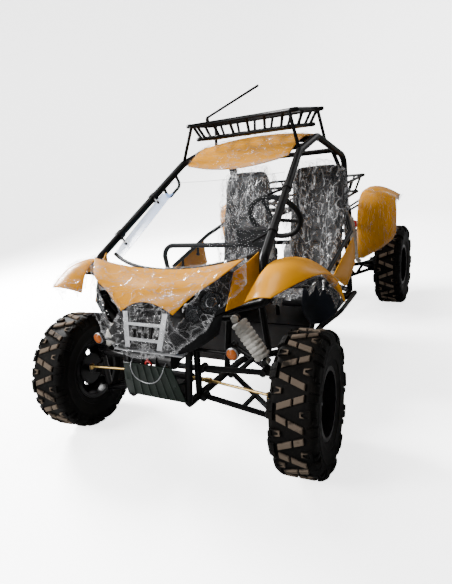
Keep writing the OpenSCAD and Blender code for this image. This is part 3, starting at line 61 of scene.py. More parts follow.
def spinRun(bm, run, axis, steps, closed=False):
    # a run of points, turned once round an axis through the origin
    dots = [bm.verts.new(spot) for spot in run]
    ends = dots[1:] + dots[:1] if closed else dots[1:]
    edges = [bm.edges.new(pair) for pair in zip(dots, ends)]
    bmesh.ops.spin(bm, geom=dots + edges, cent=(0, 0, 0), axis=axis, angle=math.tau, steps=steps,
                   use_merge=True)
    return dots


def setInputs(tree, node, values=None, links=None):
    for key, value in (values or {}).items():
        node.inputs[key].default_value = value
    for key, source in (links or {}).items():
        tree.links.new(source, node.inputs[key])


def addNode(tree, kind, values=None, links=None, **settings):
    node = tree.nodes.new("ShaderNode" + kind)
    for key, value in settings.items():
        setattr(node, key, value)
    setInputs(tree, node, values, links)
    return node


def startMaterial(name):
    material = bpy.data.materials.new(name)
    material.use_nodes = True
    tree = material.node_tree
    return material, tree, tree.nodes["Principled BSDF"]


# camera, at the photo's viewpoint
cameraSetup = {
    "place": (1.367, -2.895, 1.470),
    "yaw": 30.92,
    "pitch": -17.30,
    "roll": -7.50,
    "lens": 28.58,
    "sensor": 36.0,
    "clip": (0.05, 100),
}


def addCamera(setup):
    yaw, pitch, roll = (math.radians(setup[k]) for k in ("yaw", "pitch", "roll"))
    ahead = Vector((-math.sin(yaw) * math.cos(pitch), math.cos(yaw) * math.cos(pitch), math.sin(pitch)))
    level = ahead.cross(Vector((0, 0, 1))).normalized()
    above = level.cross(ahead)
    right = level * math.cos(roll) + above * math.sin(roll)
    up = above * math.cos(roll) - level * math.sin(roll)
    camera = addObject("photoCamera", bpy.data.cameras.new("photoCamera"))
    turn = Matrix((right, up, -ahead)).transposed()
    camera.matrix_world = Matrix.Translation(setup["place"]) @ turn.to_4x4()
    camera.data.sensor_width = setup["sensor"]
    camera.data.lens = setup["lens"]
    camera.data.clip_start, camera.data.clip_end = setup["clip"]
    bpy.context.scene.camera = camera


addCamera(cameraSetup)


# studio floor, a pale dish that curves up at its rim, and soft lamps
studio = {
    "floorRadius": 9.0,
    "rimBend": 3.0,
    "rimSteps": 8,
    "wallHeight": 9.0,
    "floorSteps": 64,
    "floorColor": (0.40, 0.40, 0.40, 1),   # what the floor gives back to the object
    "floorSeen": (2.2, 2.2, 2.2, 1),   # paler in the picture, as a lit backdrop is
    "floorGlow": 2.7,
    "worldColor": (1.0, 1.0, 1.0, 1),
    "worldStrength": 0.07,
    "lamps": [
        # name, place, aim, size, watts
        ("keyLamp", (-4.8, 0.6, 3.3), (0.0, -0.2, 0.5), 2.0, 1050),
        ("noseLamp", (-2.6, -4.9, 3.2), (0.0, -0.6, 0.7), 2.2, 330),
        ("rimLamp", (2.2, 5.2, 4.4), (0.0, 0.2, 0.8), 3.0, 60),
        ("topLamp", (-1.2, 0.2, 6.0), (0.0, 0.0, 0.5), 2.6, 170),
    ],
}


def floorPaint(setup):
    paint, tree, shader = startMaterial("studioPaint")
    tree.nodes.remove(shader)
    seen = addNode(tree, "LightPath").outputs["Is Camera Ray"]
    tone = addNode(tree, "Mix", {6: setup["floorColor"], 7: setup["floorSeen"]}, {"Factor": seen},
                   data_type="RGBA")
    coat = addNode(tree, "BsdfDiffuse", None, {"Color": tone.outputs[2]})
    glow = addNode(tree, "Math", {1: setup["floorGlow"]}, {0: seen}, operation="MULTIPLY")
    light = addNode(tree, "Emission", None, {"Strength": glow.outputs[0]})
    both = addNode(tree, "AddShader", None, {0: coat.outputs[0], 1: light.outputs[0]})
    setInputs(tree, tree.nodes["Material Output"], None, {"Surface": both.outputs[0]})
    return paint


def addFloor(setup):
    radius, bend, steps = setup["floorRadius"], setup["rimBend"], setup["rimSteps"]
    rim = [(0, 0, 0), (radius - bend, 0, 0)]
    for i in range(1, steps + 1):
        a = math.pi / 2 * i / steps
        rim.append((radius - bend + bend * math.sin(a), 0, bend - bend * math.cos(a)))
    rim.append((radius, 0, bend + setup["wallHeight"]))
    bm = bmesh.new()
    spinRun(bm, rim, (0, 0, 1), setup["floorSteps"])
    bmesh.ops.remove_doubles(bm, verts=bm.verts, dist=1e-4)
    bmesh.ops.recalc_face_normals(bm, faces=bm.faces)
    mesh = asMesh("studioFloor", bm)
    mesh.shade_smooth()
    mesh.materials.append(floorPaint(setup))
    addObject("studioFloor", mesh)


def addLamps(setup):
    world = bpy.data.worlds.new("studioWorld")
    world.use_nodes = True
    setInputs(world.node_tree, world.node_tree.nodes["Background"],
              {"Color": setup["worldColor"], "Strength": setup["worldStrength"]})
    bpy.context.scene.world = world
    for name, place, aim, size, watts in setup["lamps"]:
        data = bpy.data.lights.new(name, "AREA")
        data.shape, data.size, data.energy = "DISK", size, watts
        lamp = addObject(name, data)
        lamp.location = place
        lamp.rotation_euler = (Vector(aim) - Vector(place)).to_track_quat("-Z", "Y").to_euler()


addFloor(studio)
addLamps(studio)
print("camera and studio ready")


# shared shader groups
def newGroup(name, inputs, outputs):
    # the start value of an input tells its kind
    group = bpy.data.node_groups.new(name, "ShaderNodeTree")
    kinds = {1: "Float", 3: "Vector", 4: "Color"}
    for label, start in inputs.items():
        kind = kinds[len(start) if isinstance(start, tuple) else 1]
        socket = group.interface.new_socket(label, in_out="INPUT", socket_type="NodeSocket" + kind)
        socket.default_value = start
    for label in outputs:
        kind = "Color" if label == "Color" else "Float"
        group.interface.new_socket(label, in_out="OUTPUT", socket_type="NodeSocket" + kind)
    return group, group.nodes.new("NodeGroupInput").outputs, group.nodes.new("NodeGroupOutput")


def buildGrain():
    # fine moulded or sprayed grain as a height, and a broad cloud that shifts tone and gloss
    group, give, take = newGroup(
        "surfaceGrain", {"Grain Scale": 300.0, "Cloud Scale": 5.0}, ("Height", "Cloud"))
    spot = addNode(group, "TexCoord").outputs["Object"]
    fine = addNode(group, "TexNoise", {"Detail": 3.0, "Roughness": 0.6},
                   {"Vector": spot, "Scale": give["Grain Scale"]})
    broad = addNode(group, "TexNoise", {"Detail": 5.0, "Roughness": 0.62},
                    {"Vector": spot, "Scale": give["Cloud Scale"]})
    setInputs(group, take, None, {"Height": fine.outputs["Fac"], "Cloud": broad.outputs["Fac"]})
    return group


def buildDust():
    # dust that settles on faces that look up, broken into patches
    group, give, take = newGroup(
        "settledDust",
        {"Color": (0, 0, 0, 1), "Dust Color": (0.3, 0.25, 0.2, 1), "Amount": 0.2, "Gloss": 0.4,
         "Patch Scale": 9.0},
        ("Color", "Roughness"))
    spot = addNode(group, "TexCoord").outputs["Object"]
    patches = addNode(group, "TexNoise", {"Detail": 8.0, "Roughness": 0.68},
                      {"Vector": spot, "Scale": give["Patch Scale"]})
    spread = addNode(group, "MapRange", {"From Min": 0.38, "From Max": 0.72}, {"Value": patches.outputs["Fac"]})
    facing = addNode(group, "NewGeometry").outputs["Normal"]
    upward = addNode(group, "SeparateXYZ", None, {"Vector": facing}).outputs["Z"]
    lift = addNode(group, "MapRange", {"From Min": -0.5, "From Max": 0.9, "To Min": 0.2}, {"Value": upward})
    both = addNode(group, "Math", None, {0: spread.outputs[0], 1: lift.outputs[0]}, operation="MULTIPLY")
    mask = addNode(group, "Math", None, {0: both.outputs[0], 1: give["Amount"]}, operation="MULTIPLY",
                   use_clamp=True)
    tint = addNode(group, "Mix", None, {"Factor": mask.outputs[0], 6: give["Color"], 7: give["Dust Color"]},
                   data_type="RGBA")
    rough = addNode(group, "MapRange", {"To Max": 0.9}, {"Value": mask.outputs[0], "To Min": give["Gloss"]})
    setInputs(group, take, None, {"Color": tint.outputs[2], "Roughness": rough.outputs[0]})
    return group


def buildCreases():
    # sharp crossing folds of thin clear film: a height, and a mask of painted highlights along the fold lines
    # and cracks
    group, give, take = newGroup(
        "filmCreases", {"Fold Scale": 14.0, "Stretch": (1, 1, 1), "Sharpness": 0.06}, ("Height", "Fold Highlights"))
    spot = addNode(group, "TexCoord").outputs["Object"]
    pulled = addNode(group, "VectorMath", None, {0: spot, 1: give["Stretch"]}, operation="MULTIPLY")
    bent = addNode(group, "TexNoise", {"Scale": 6.0, "Detail": 2.0}, {"Vector": pulled.outputs[0]})
    away = addNode(group, "VectorMath", {1: (0.11, 0.11, 0.11)}, {0: bent.outputs["Color"]},
                   operation="MULTIPLY")
    moved = addNode(group, "VectorMath", None, {0: pulled.outputs[0], 1: away.outputs[0]}, operation="ADD")
    large = addNode(group, "TexNoise", {"Detail": 3.5, "Roughness": 0.58},
                    {"Vector": moved.outputs[0], "Scale": give["Fold Scale"]})
    middle = addNode(group, "Math", {1: 0.5}, {0: large.outputs["Fac"]}, operation="SUBTRACT")
    fold = addNode(group, "Math", None, {0: middle.outputs[0]}, operation="ABSOLUTE")
    line = addNode(group, "MapRange", {"From Min": 0.0, "To Min": 1.0, "To Max": 0.0},
                   {"Value": fold.outputs[0], "From Max": give["Sharpness"]})
    # the cell edges give crack lines, painted highlights like the folds
    cells = addNode(group, "TexVoronoi", {"Scale": 17.0}, {"Vector": moved.outputs[0]},
                    feature="DISTANCE_TO_EDGE")
    crackHighlight = addNode(group, "MapRange", {"From Min": 0.0, "From Max": 0.035, "To Min": 0.55, "To Max": 0.0},
                    {"Value": cells.outputs["Distance"]})
    # painted highlights along both the folds and the cracks
    foldHighlights = addNode(group, "Math", None, {0: line.outputs[0], 1: crackHighlight.outputs[0]}, operation="MAXIMUM")
    setInputs(group, take, None, {"Fold Highlights": foldHighlights.outputs[0], "Height": large.outputs["Fac"]})
    return group


grainGroup, dustGroup, creaseGroup = buildGrain(), buildDust(), buildCreases()


# finishes
def addBump(tree, shader, height, strength, distance):
    bump = addNode(tree, "Bump", {"Strength": strength, "Distance": distance}, {"Height": height})
    setInputs(tree, shader, None, {"Normal": bump.outputs["Normal"]})


def addGrain(tree, grain, cloud):
    return addNode(tree, "Group", {"Grain Scale": grain, "Cloud Scale": cloud}, node_tree=grainGroup).outputs


solidCommon = {"cloud": 5.0, "depth": 0.0006, "patch": 9.0, "dustColor": (0.30, 0.26, 0.21), "metallic": 0.0,
               "specular": 0.5, "coat": 0.0, "coatRoughness": 0.05}
solidSetup = {
    # finish: two tones, roughness, grain, bump, dust, and what differs from the rest
    "tubePaint": ((0.0035, 0.0035, 0.0038), (0.007, 0.007, 0.0075), 0.34, 420, 0.10, 0.02, {"specular": 0.09}),
    "panelPaint": ((0.72, 0.300, 0.0), (0.66, 0.258, 0.0), 0.32, 160, 0.05, 0.01, {
        "specular": 0.10, "coat": 0.05, "cloud": 3.0, "dustColor": (0.45, 0.28, 0.12)}),
    "blackPlastic": ((0.005, 0.005, 0.0055), (0.010, 0.010, 0.011), 0.42, 700, 0.25, 0.02, {"specular": 0.12}),
    "guardPlastic": ((0.006, 0.0075, 0.012), (0.010, 0.012, 0.018), 0.50, 600, 0.2, 0.02, {"specular": 0.10}),
    "rimPaint": ((0.004, 0.004, 0.0045), (0.008, 0.008, 0.009), 0.28, 380, 0.08, 0.03, {"specular": 0.14}),
    "sidewallRubber": ((0.014, 0.0135, 0.013), (0.026, 0.024, 0.022), 0.62, 500, 0.3, 0.22, {}),
    "darkMetal": ((0.014, 0.014, 0.015), (0.028, 0.028, 0.028), 0.40, 300, 0.15, 0.05, {
        "metallic": 0.4, "specular": 0.2}),
    "goldMetal": ((0.46, 0.31, 0.11), (0.38, 0.25, 0.08), 0.30, 260, 0.08, 0.12, {"metallic": 0.9}),
    "brightMetal": ((0.36, 0.365, 0.375), (0.28, 0.285, 0.30), 0.34, 600, 0.10, 0.04, {"metallic": 0.8}),
    "engineMetal": ((0.26, 0.26, 0.27), (0.36, 0.36, 0.36), 0.45, 240, 0.35, 0.25, {"metallic": 0.9}),
    "exhaustMetal": ((0.34, 0.32, 0.30), (0.24, 0.20, 0.17), 0.36, 200, 0.12, 0.15, {"metallic": 1.0}),
    "skidPaint": ((0.0030, 0.0075, 0.0050), (0.0060, 0.0130, 0.0088), 0.34, 260, 0.12, 0.03, {
        "specular": 0.16}),
    "hookPaint": ((0.52, 0.020, 0.020), (0.40, 0.014, 0.014), 0.32, 300, 0.1, 0.10, {"coat": 0.4}),
    "gripRubber": ((0.005, 0.005, 0.005), (0.009, 0.009, 0.0085), 0.58, 650, 0.3, 0.03, {"specular": 0.10}),
    "amberLens": ((0.42, 0.095, 0.002), (0.34, 0.07, 0.001), 0.18, 220, 0.1, 0.02, {"specular": 0.4}),
    "redLens": ((0.50, 0.012, 0.012), (0.38, 0.008, 0.008), 0.16, 220, 0.1, 0.05, {"coat": 0.8}),
    "sleeveWrap": ((0.64, 0.62, 0.57), (0.40, 0.385, 0.345), 0.40, 90, 0.4, 0.08, {
        "cloud": 22, "specular": 0.3}),
    "seatVinyl": ((0.006, 0.006, 0.007), (0.011, 0.011, 0.0125), 0.42, 480, 0.45, 0.02, {"specular": 0.16}),
    "lampBowl": ((0.045, 0.046, 0.050), (0.030, 0.031, 0.034), 0.16, 200, 0.05, 0.02, {"metallic": 0.7}),
    "lampRing": ((0.62, 0.63, 0.65), (0.50, 0.51, 0.53), 0.14, 200, 0.05, 0.02, {"metallic": 1.0}),
}


def solidFinish(name, first, second, roughness, grain, bump, dustAndSheen, other):
    # a hard surface: two tones by cloud, settled dust, grain in the bump
    look = {**solidCommon, **other}
    material, tree, shader = startMaterial(name)
    skin = addGrain(tree, grain, look["cloud"])
    tone = addNode(tree, "Mix", {6: (*first, 1), 7: (*second, 1)}, {"Factor": skin["Cloud"]}, data_type="RGBA")
    settled = {"Dust Color": (*look["dustColor"], 1), "Amount": dustAndSheen, "Gloss": roughness,
               "Patch Scale": look["patch"]}
    dustAndSheenTone = addNode(tree, "Group", settled, {"Color": tone.outputs[2]}, node_tree=dustGroup)
    setInputs(tree, shader, {"Metallic": look["metallic"], "Specular IOR Level": look["specular"],
                             "Coat Weight": look["coat"], "Coat Roughness": look["coatRoughness"]},
              {"Base Color": dustAndSheenTone.outputs["Color"], "Roughness": dustAndSheenTone.outputs["Roughness"]})
    addBump(tree, shader, skin["Height"], bump, look["depth"])
    return material


clearCommon = {"cloud": 4.0, "depth": 0.0005, "ior": 1.45}
clearSetup = {
    # finish: tint, roughness, haze, grain, bump, alpha
    "screenClear": ((0.20, 0.22, 0.24), 0.02, 0.06, 60, 0.02, 0.022),
    "lampClear": ((0.16, 0.17, 0.18), 0.02, 0.05, 80, 0.03, 0.06),
    "stripFilm": ((0.22, 0.36, 0.66), 0.12, 0.30, 90, 0.06, 0.55),
    "screenRim": ((0.16, 0.18, 0.20), 0.12, 0.30, 90, 0.06, 0.60),
}


def clearPlastic(name, color, roughness, haze, grain, bump, alpha):
    # clear moulding or screen: a little tint, faint haze and fine scratches in the bump
    material, tree, shader = startMaterial(name)
    skin = addGrain(tree, grain, clearCommon["cloud"])
    rough = addNode(tree, "MapRange", {"To Min": roughness, "To Max": haze}, {"Value": skin["Cloud"]})
    setInputs(tree, shader, {"Base Color": (*color, 1), "Alpha": alpha, "IOR": clearCommon["ior"]},
              {"Roughness": rough.outputs[0]})
    addBump(tree, shader, skin["Height"], bump, clearCommon["depth"])
    return material


looks = {name: solidFinish(name, *row) for name, row in solidSetup.items()}
looks.update({name: clearPlastic(name, *row) for name, row in clearSetup.items()})

# which finish each CAD node wears
nodeFinish = {
    "tubePaint": ["frame_rails", "frame_crossmembers", "front_towers", "rear_frame", "rear_bumper",
                  "cage_sides", "cage_crossbars", "cage_stays", "side_bars", "front_arms", "trailing_arms",
                  "roof_rack", "rear_rack", "antenna", "panel_brackets", "seat_feet", "floor_pan"],
    "panelPaint": ["bonnet", "cowl_sides", "front_fenders", "roof_panel", "rear_fenders", "side_panels"],
    "blackPlastic": ["grille", "nose_cover", "headlamps", "dashboard", "windscreen_clamps"],
    "guardPlastic": ["mudguards"],
    "rimPaint": ["front_rim_left", "front_rim_right", "rear_rim_left", "rear_rim_right"],
    "sidewallRubber": ["front_tyre_left", "front_tyre_right", "rear_tyre_left", "rear_tyre_right"],
    "darkMetal": ["rear_shocks", "drive_shafts", "knuckle_left", "knuckle_right", "rack_housing",
                  "steering_column", "winch", "transaxle"],
    "goldMetal": ["tie_rods"],
    "brightMetal": ["grille_trim", "winch_plate"],
    "engineMetal": ["engine"],
    "exhaustMetal": ["exhaust"],
    "skidPaint": ["skid_plate"],
    "hookPaint": ["tow_hook"],
    "gripRubber": ["steering_wheel"],
    "amberLens": ["turn_lamps"],
    "redLens": ["tail_lamps"],
    "sleeveWrap": ["front_shocks"],
    "seatVinyl": ["seat_left", "seat_right"],
    "screenClear": ["windscreen"],
    "lampClear": ["headlamp_glasses"],
}
for finish, names in nodeFinish.items():
    for name in names:
        data = cadNodes[name].data
        data.materials.clear()
        data.materials.append(looks[finish])
print("finishes on", sum(len(names) for names in nodeFinish.values()), "nodes")


# helpers for new pieces
def copyNode(*names):
    # the nodes' triangles, merged so that edges are shared
    bm = bmesh.new()
    for name in names:
        bm.from_mesh(cadNodes[name].data)
    bmesh.ops.remove_doubles(bm, verts=bm.verts, dist=2e-5)
    return bm


def mount(piece, body):
    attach(piece, body)
    return piece


def addPiece(name, bm, finishes, body="chassis", sharp=None, instead=None):
    mesh = asMesh(name, bm)
    for finish in finishes:
        mesh.materials.append(looks[finish])
    mesh.shade_smooth()
    if sharp:
        mesh.set_sharp_from_angle(angle=math.radians(sharp))
    piece = mount(addObject(name, mesh), body)
    if instead:
        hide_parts(instead)
    return piece


def addTube(name, points, radius, finish):
    # a round strip along a smooth run of points
    data = bpy.data.curves.new(name, "CURVE")
    data.dimensions, data.bevel_depth, data.bevel_resolution, data.use_fill_caps = "3D", radius, 3, True
    run = data.splines.new("POLY")
    run.points.add(len(points) - 1)
    for dot, spot in zip(run.points, points):
        dot.co = (*spot, 1)
    data.materials.append(looks[finish])
    return mount(addObject(name, data), "chassis")


ridgeSetup = {"octaves": 3, "steep": 3.2, "fade": 0.55, "finer": 2.1}


def ridged(spot, scale):
    # 0 in the flats, up to 1 along sharp folds
    total, weight, reach = 0.0, 1.0, 0.0
    for i in range(ridgeSetup["octaves"]):
        total += weight * (1 - min(1, ridgeSetup["steep"] * abs(noise.noise(spot * scale))))
        reach += weight
        weight, scale = weight * ridgeSetup["fade"], scale * ridgeSetup["finer"]
    return total / reach


def eased(value, low, high):
    t = min(max((value - low) / (high - low), 0), 1)
    return t * t * (3 - 2 * t)


def connected(dots):
    # every vertex that edges join to these, in the same order each run
    found, ring = dict.fromkeys(dots), list(dots)
    while ring:
        ring = [v for v in dict.fromkeys(e.other_vert(v) for v in ring for e in v.link_edges) if v not in found]
        found.update(dict.fromkeys(ring))
    return list(found)


def islandFrames(node):
    # centre, outward axis, radius and half height of each round solid in a node
    bm = copyNode(node)
    seen, frames = set(), []
    for first in bm.verts:
        if first in seen:
            continue
        group = connected([first])
        seen.update(group)
        middle = sum((v.co for v in group), Vector()) / len(group)
        caps = {}
        for face in {f for v in group for f in v.link_faces}:
            key = tuple(round(c, 2) for c in face.normal)
            caps[key] = caps.get(key, 0) + face.calc_area()
        front = [Vector(k) for k in sorted(caps, key=caps.get)[-2:]]
        axis = min(front, key=lambda n: n.y).normalized()
        far = max((v.co - middle - axis * (v.co - middle).dot(axis)).length for v in group)
        tall = max((v.co - middle).dot(axis) for v in group)
        frames.append((middle, axis, far, tall))
    bm.free()
    return frames


def sliceEnd(node, axis, at, pick):
    # the node's end point in the plane where one coordinate is fixed
    bm = copyNode(node)
    normal, spot = Vector((0, 0, 0)), Vector((0, 0, 0))
    normal[axis], spot[axis] = 1, at
    geom = bm.verts[:] + bm.edges[:] + bm.faces[:]
    cut = bmesh.ops.bisect_plane(bm, geom=geom, plane_co=spot, plane_no=normal)["geom_cut"]
    dots = [g.co.copy() for g in cut if isinstance(g, bmesh.types.BMVert)]
    bm.free()
    return min(dots, key=pick) if dots else None


# tyres: a revolved carcass with leaning bars, notched blocks and shoulder lugs
tyreSetup = {
    "radius": 0.330,
    "halfWidth": 0.1115,
    "shoulder": 0.045,
    "shoulderSteps": 6,
    "sidewall": (   # out from the shoulder, and radius
        (0.002, 0.268), (0.004, 0.262), (0.004, 0.256), (0.0015, 0.251), (0.001, 0.225), (-0.003, 0.205),
        (-0.003, 0.200), (-0.006, 0.198), (-0.012, 0.182)),
    "heel": (0.006, 0.1695),   # out from the bead, and radius
    "flange": 0.1670,
    "bead": 0.1525,
    "beadHalf": 0.079,
    "wall": 0.014,
    "lining": ((-0.024, 0.195), (-0.016, 0.262)),
    "steps": 120,
    "units": 24,
    "lugHeight": 0.012,
    "topShare": 0.8,
    "draft": 0.93,
    "bite": 0.004,
    "edge": 0.0022,
    "bar": (0.112, 0.029),
    "barSkew": 0.022,
    "slit": 0.006,
    "slitShift": 0.010,
    "block": (0.042, 0.040),
    "blockPlace": 0.060,
    "blockTaper": 0.45,
    "notch": (0.008, 0.006, 0.85),   # rim, depth, narrowing
    "shoulderLug": (0.067, 0.128, 0.034),
    "shoulderLean": 1.15,
    "lowLug": (0.088, 0.120, 0.6),
    "fade": (0.100, 0.6),   # where lugs start to run out on the sidewall, and by how much
}


def wrapOnTread(setup, u, s, h):
    # u runs across the tread from its middle, s round it, h out from the carcass
    flat, bend = setup["halfWidth"] - setup["shoulder"], setup["shoulder"] - setup["lugHeight"]
    side, past = (1 if u >= 0 else -1), abs(u) - flat
    turn = min(max(past, 0) / bend, math.pi / 2)
    below = max(past - bend * math.pi / 2, 0)
    x = min(abs(u), flat) + (bend + h) * math.sin(turn)
    r = setup["radius"] - setup["shoulder"] + (bend + h) * math.cos(turn) - below
    a = s / setup["radius"]
    return Vector((side * x, r * math.sin(a), r * math.cos(a)))


def addLug(bm, setup, spanU, spanS, height, skew=0.0, narrow=0.0, notch=False, loops=0):
    # one rubber block in flat u, s, h space
    made = bmesh.ops.create_cube(bm, size=1.0)["verts"]
    midU, midS = sum(spanU) / 2, sum(spanS) / 2
    for v in made:
        up = v.co.z > 0
        draft = setup["draft"] if up else 1.0
        u = midU + v.co.x * (spanU[1] - spanU[0]) * draft
        taper = 1 - narrow * (0.5 - v.co.x) if narrow > 0 else 1 + narrow * (0.5 + v.co.x)
        s = midS + v.co.y * (spanS[1] - spanS[0]) * draft * taper
        v.co = (u, s + skew * u, height if up else -setup["bite"])
    faces = list({f for v in made for f in v.link_faces})
    top = max(faces, key=lambda f: f.calc_center_median().z)
    if loops:
        geom = list({e for v in made for e in v.link_edges}) + made + faces
        for i in range(1, loops + 1):
            cut = spanU[0] + (spanU[1] - spanU[0]) * i / (loops + 1)
            geom = bmesh.ops.bisect_plane(bm, geom=geom, plane_co=(cut, 0, 0), plane_no=(1, 0, 0))["geom"]
    elif notch:
        rim, deep, narrowing = setup["notch"]
        bmesh.ops.inset_individual(bm, faces=[top], thickness=rim, depth=0)
        low = bmesh.ops.extrude_discrete_faces(bm, faces=[top])["faces"][0]
        bmesh.ops.translate(bm, verts=list(low.verts), vec=(0, 0, -deep))
        bmesh.ops.scale(bm, verts=list(low.verts), vec=(narrowing, narrowing, 1),
                        space=Matrix.Translation(-low.calc_center_median()))
    else:
        bmesh.ops.bevel(bm, geom=list(top.edges), offset=setup["edge"], offset_type="OFFSET", segments=1,
                        profile=0.5, affect="EDGES", material=-1)


def addTread(bm, setup):
    pitch = math.tau * setup["radius"] / setup["units"]
    barLong, barWide = setup["bar"]
    blockLong, blockWide = setup["block"]
    nearEdge, farEdge, lugWide = setup["shoulderLug"]
    lowNear, lowFar, lowShare = setup["lowLug"]
    fadeFrom, fadeShare = setup["fade"]
    tall, slit = setup["lugHeight"], setup["slit"] / 2
    for i in range(setup["units"]):
        s, odd = i * pitch, (-1 if i % 2 else 1)
        skew = odd * setup["barSkew"] / (barLong / 2)
        split = odd * setup["slitShift"]
        for span in ((-barLong / 2, split - slit), (split + slit, barLong / 2)):
            addLug(bm, setup, span, (s - barWide / 2, s + barWide / 2), tall, skew)
        middle = s + pitch / 2
        place = -odd * setup["blockPlace"]
        addLug(bm, setup, (place - blockLong / 2, place + blockLong / 2),
               (middle - blockWide / 2, middle + blockWide / 2), tall,
               narrow=math.copysign(setup["blockTaper"], place), notch=True)
        for face in (-1, 1):
            spot = s + face * odd * setup["barSkew"] * setup["shoulderLean"]
            span = sorted((face * nearEdge, face * farEdge))
            addLug(bm, setup, span, (spot - lugWide / 2, spot + lugWide / 2), tall, loops=4)
            spot += pitch / 2
            span = sorted((face * lowNear, face * lowFar))
            addLug(bm, setup, span, (spot - lugWide / 3, spot + lugWide / 3), tall * lowShare, loops=2)
    tops = bm.verts.layers.float.new("lugTop")
    for v in bm.verts:
        u, s, h = v.co
        v[tops] = 1.0 if h > setup["topShare"] * tall and abs(u) < nearEdge else 0.0
        fade = max(0, abs(u) - fadeFrom) / (farEdge - fadeFrom)
        v.co = wrapOnTread(setup, u, s, min(h, tall) * (1 - fadeShare * min(fade, 1)))
    bmesh.ops.recalc_face_normals(bm, faces=bm.faces)


def addCarcass(bm, setup):
    # from one bead over the tread to the other, and back inside
    flat, bend = setup["halfWidth"] - setup["shoulder"], setup["shoulder"] - setup["lugHeight"]
    side, crown, bead = flat + bend, setup["radius"] - setup["lugHeight"], setup["beadHalf"]
    half = [(flat * t, crown) for t in (0.0, 0.5, 1.0)]
    for i in range(1, setup["shoulderSteps"] + 1):
        a = math.pi / 2 * i / setup["shoulderSteps"]
        half.append((flat + bend * math.sin(a), setup["radius"] - setup["shoulder"] + bend * math.cos(a)))
    half += [(side + x, r) for x, r in setup["sidewall"]]
    half += [(bead + setup["heel"][0], setup["heel"][1]), (bead, setup["flange"]), (bead, setup["bead"]),
             (bead - setup["wall"], setup["bead"])]
    half += [(side + x, r) for x, r in setup["lining"]]
    half += [(flat, crown - setup["wall"]), (0.0, crown - setup["wall"])]
    ring = half + [(-x, r) for x, r in reversed(half[1:-1])]
    before = set(bm.faces)
    spinRun(bm, [(x, 0, r) for x, r in ring], (1, 0, 0), setup["steps"], closed=True)
    bmesh.ops.recalc_face_normals(bm, faces=[f for f in bm.faces if f not in before])


def buildTyre(setup):
    bm = bmesh.new()
    addTread(bm, setup)
    addCarcass(bm, setup)
    return asMesh("tyreMould", bm)


treadLook = {
    "dark": (0.0022, 0.0021, 0.0020, 1),
    "grey": (0.005, 0.0047, 0.0044, 1),
    # tan for the lug tops: partly dust, partly a painted highlight
    "dustAndSheen": (0.135, 0.104, 0.078, 1),
    "grain": 420.0,
    "cloud": 14.0,
    "settled": {"Dust Color": (0.10, 0.08, 0.06, 1), "Amount": 0.07, "Gloss": 0.60, "Patch Scale": 16.0},
    "broken": {"From Min": 0.34, "From Max": 0.56, "To Min": 0.35, "To Max": 0.95},
    "sharpened": {"From Min": 0.30, "From Max": 0.70},
    "tanTopRough": 0.25,
    "specular": 0.06,
    "bump": (0.35, 0.0008),
}


def treadFinish(name, look):
    # dark rubber; tan on the tops of the tread lugs, partly dust and partly a painted highlight on the lug tops
    material, tree, shader = startMaterial(name)
    skin = addGrain(tree, look["grain"], look["cloud"])
    tone = addNode(tree, "Mix", {6: look["dark"], 7: look["grey"]}, {"Factor": skin["Cloud"]}, data_type="RGBA")
    old = addNode(tree, "Group", look["settled"], {"Color": tone.outputs[2]}, node_tree=dustGroup)
    top = addNode(tree, "Attribute", attribute_name="lugTop")
    broken = addNode(tree, "MapRange", look["broken"], {"Value": skin["Cloud"]})
    mask = addNode(tree, "Math", None, {0: top.outputs["Fac"], 1: broken.outputs[0]}, operation="MULTIPLY")
    sharp = addNode(tree, "MapRange", look["sharpened"], {"Value": mask.outputs[0]})
    # the tan on the lug tops: partly dust, partly a painted highlight
    dustAndSheenTone = addNode(tree, "Mix", {7: look["dustAndSheen"]}, {"Factor": sharp.outputs[0], 6: old.outputs["Color"]},
                    data_type="RGBA")
    rough = addNode(tree, "Math", {1: look["tanTopRough"]}, {0: sharp.outputs[0], 2: old.outputs["Roughness"]},
                    operation="MULTIPLY_ADD")
    setInputs(tree, shader, {"Specular IOR Level": look["specular"]},
              {"Base Color": dustAndSheenTone.outputs[2], "Roughness": rough.outputs[0]})
    addBump(tree, shader, skin["Height"], *look["bump"])
    return material


nutSetup = {
    "count": 4,
    "circle": 0.033,
    "seat": 0.026,
    "cones": (
        # sides, lower and upper radius, depth, middle
        (6, 0.0112, 0.0112, 0.017, 0.0085),
        (20, 0.01512, 0.01176, 0.004, 0.004),
        (20, 0.009632, 0.004704, 0.006, 0.0195),
    ),
}


def buildNuts(setup):
    # bright flanged nuts round the hub, on the outer face
    bm = bmesh.new()
    for i in range(setup["count"]):
        a = math.tau * (i + 0.5) / setup["count"]
        spot = Matrix.Translation((setup["seat"], setup["circle"] * math.cos(a), setup["circle"] * math.sin(a)))
        turn = spot @ Matrix.Rotation(math.pi / 2, 4, "Y")
        for sides, low, high, deep, middle in setup["cones"]:
            bmesh.ops.create_cone(bm, cap_ends=True, segments=sides, radius1=low, radius2=high, depth=deep,
                                  matrix=turn @ Matrix.Translation((0, 0, middle)))
    return asMesh("nutSet", bm)


def wheelMatrix(node, side, steer):
    low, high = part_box(node)
    turn = Matrix.Rotation(math.radians(steer), 4, "Z")
    return Matrix.Translation((low + high) / 2) @ turn @ Matrix.Diagonal((side, 1, 1, 1))


def addWheelPiece(name, mould, spot, side, finish, body, instead=None):
    bm = bmesh.new()
    bm.from_mesh(mould)
    bmesh.ops.transform(bm, matrix=spot, verts=bm.verts)
    if side < 0:
        bmesh.ops.reverse_faces(bm, faces=bm.faces)
    addPiece(name, bm, [finish], body, sharp=35, instead=instead)


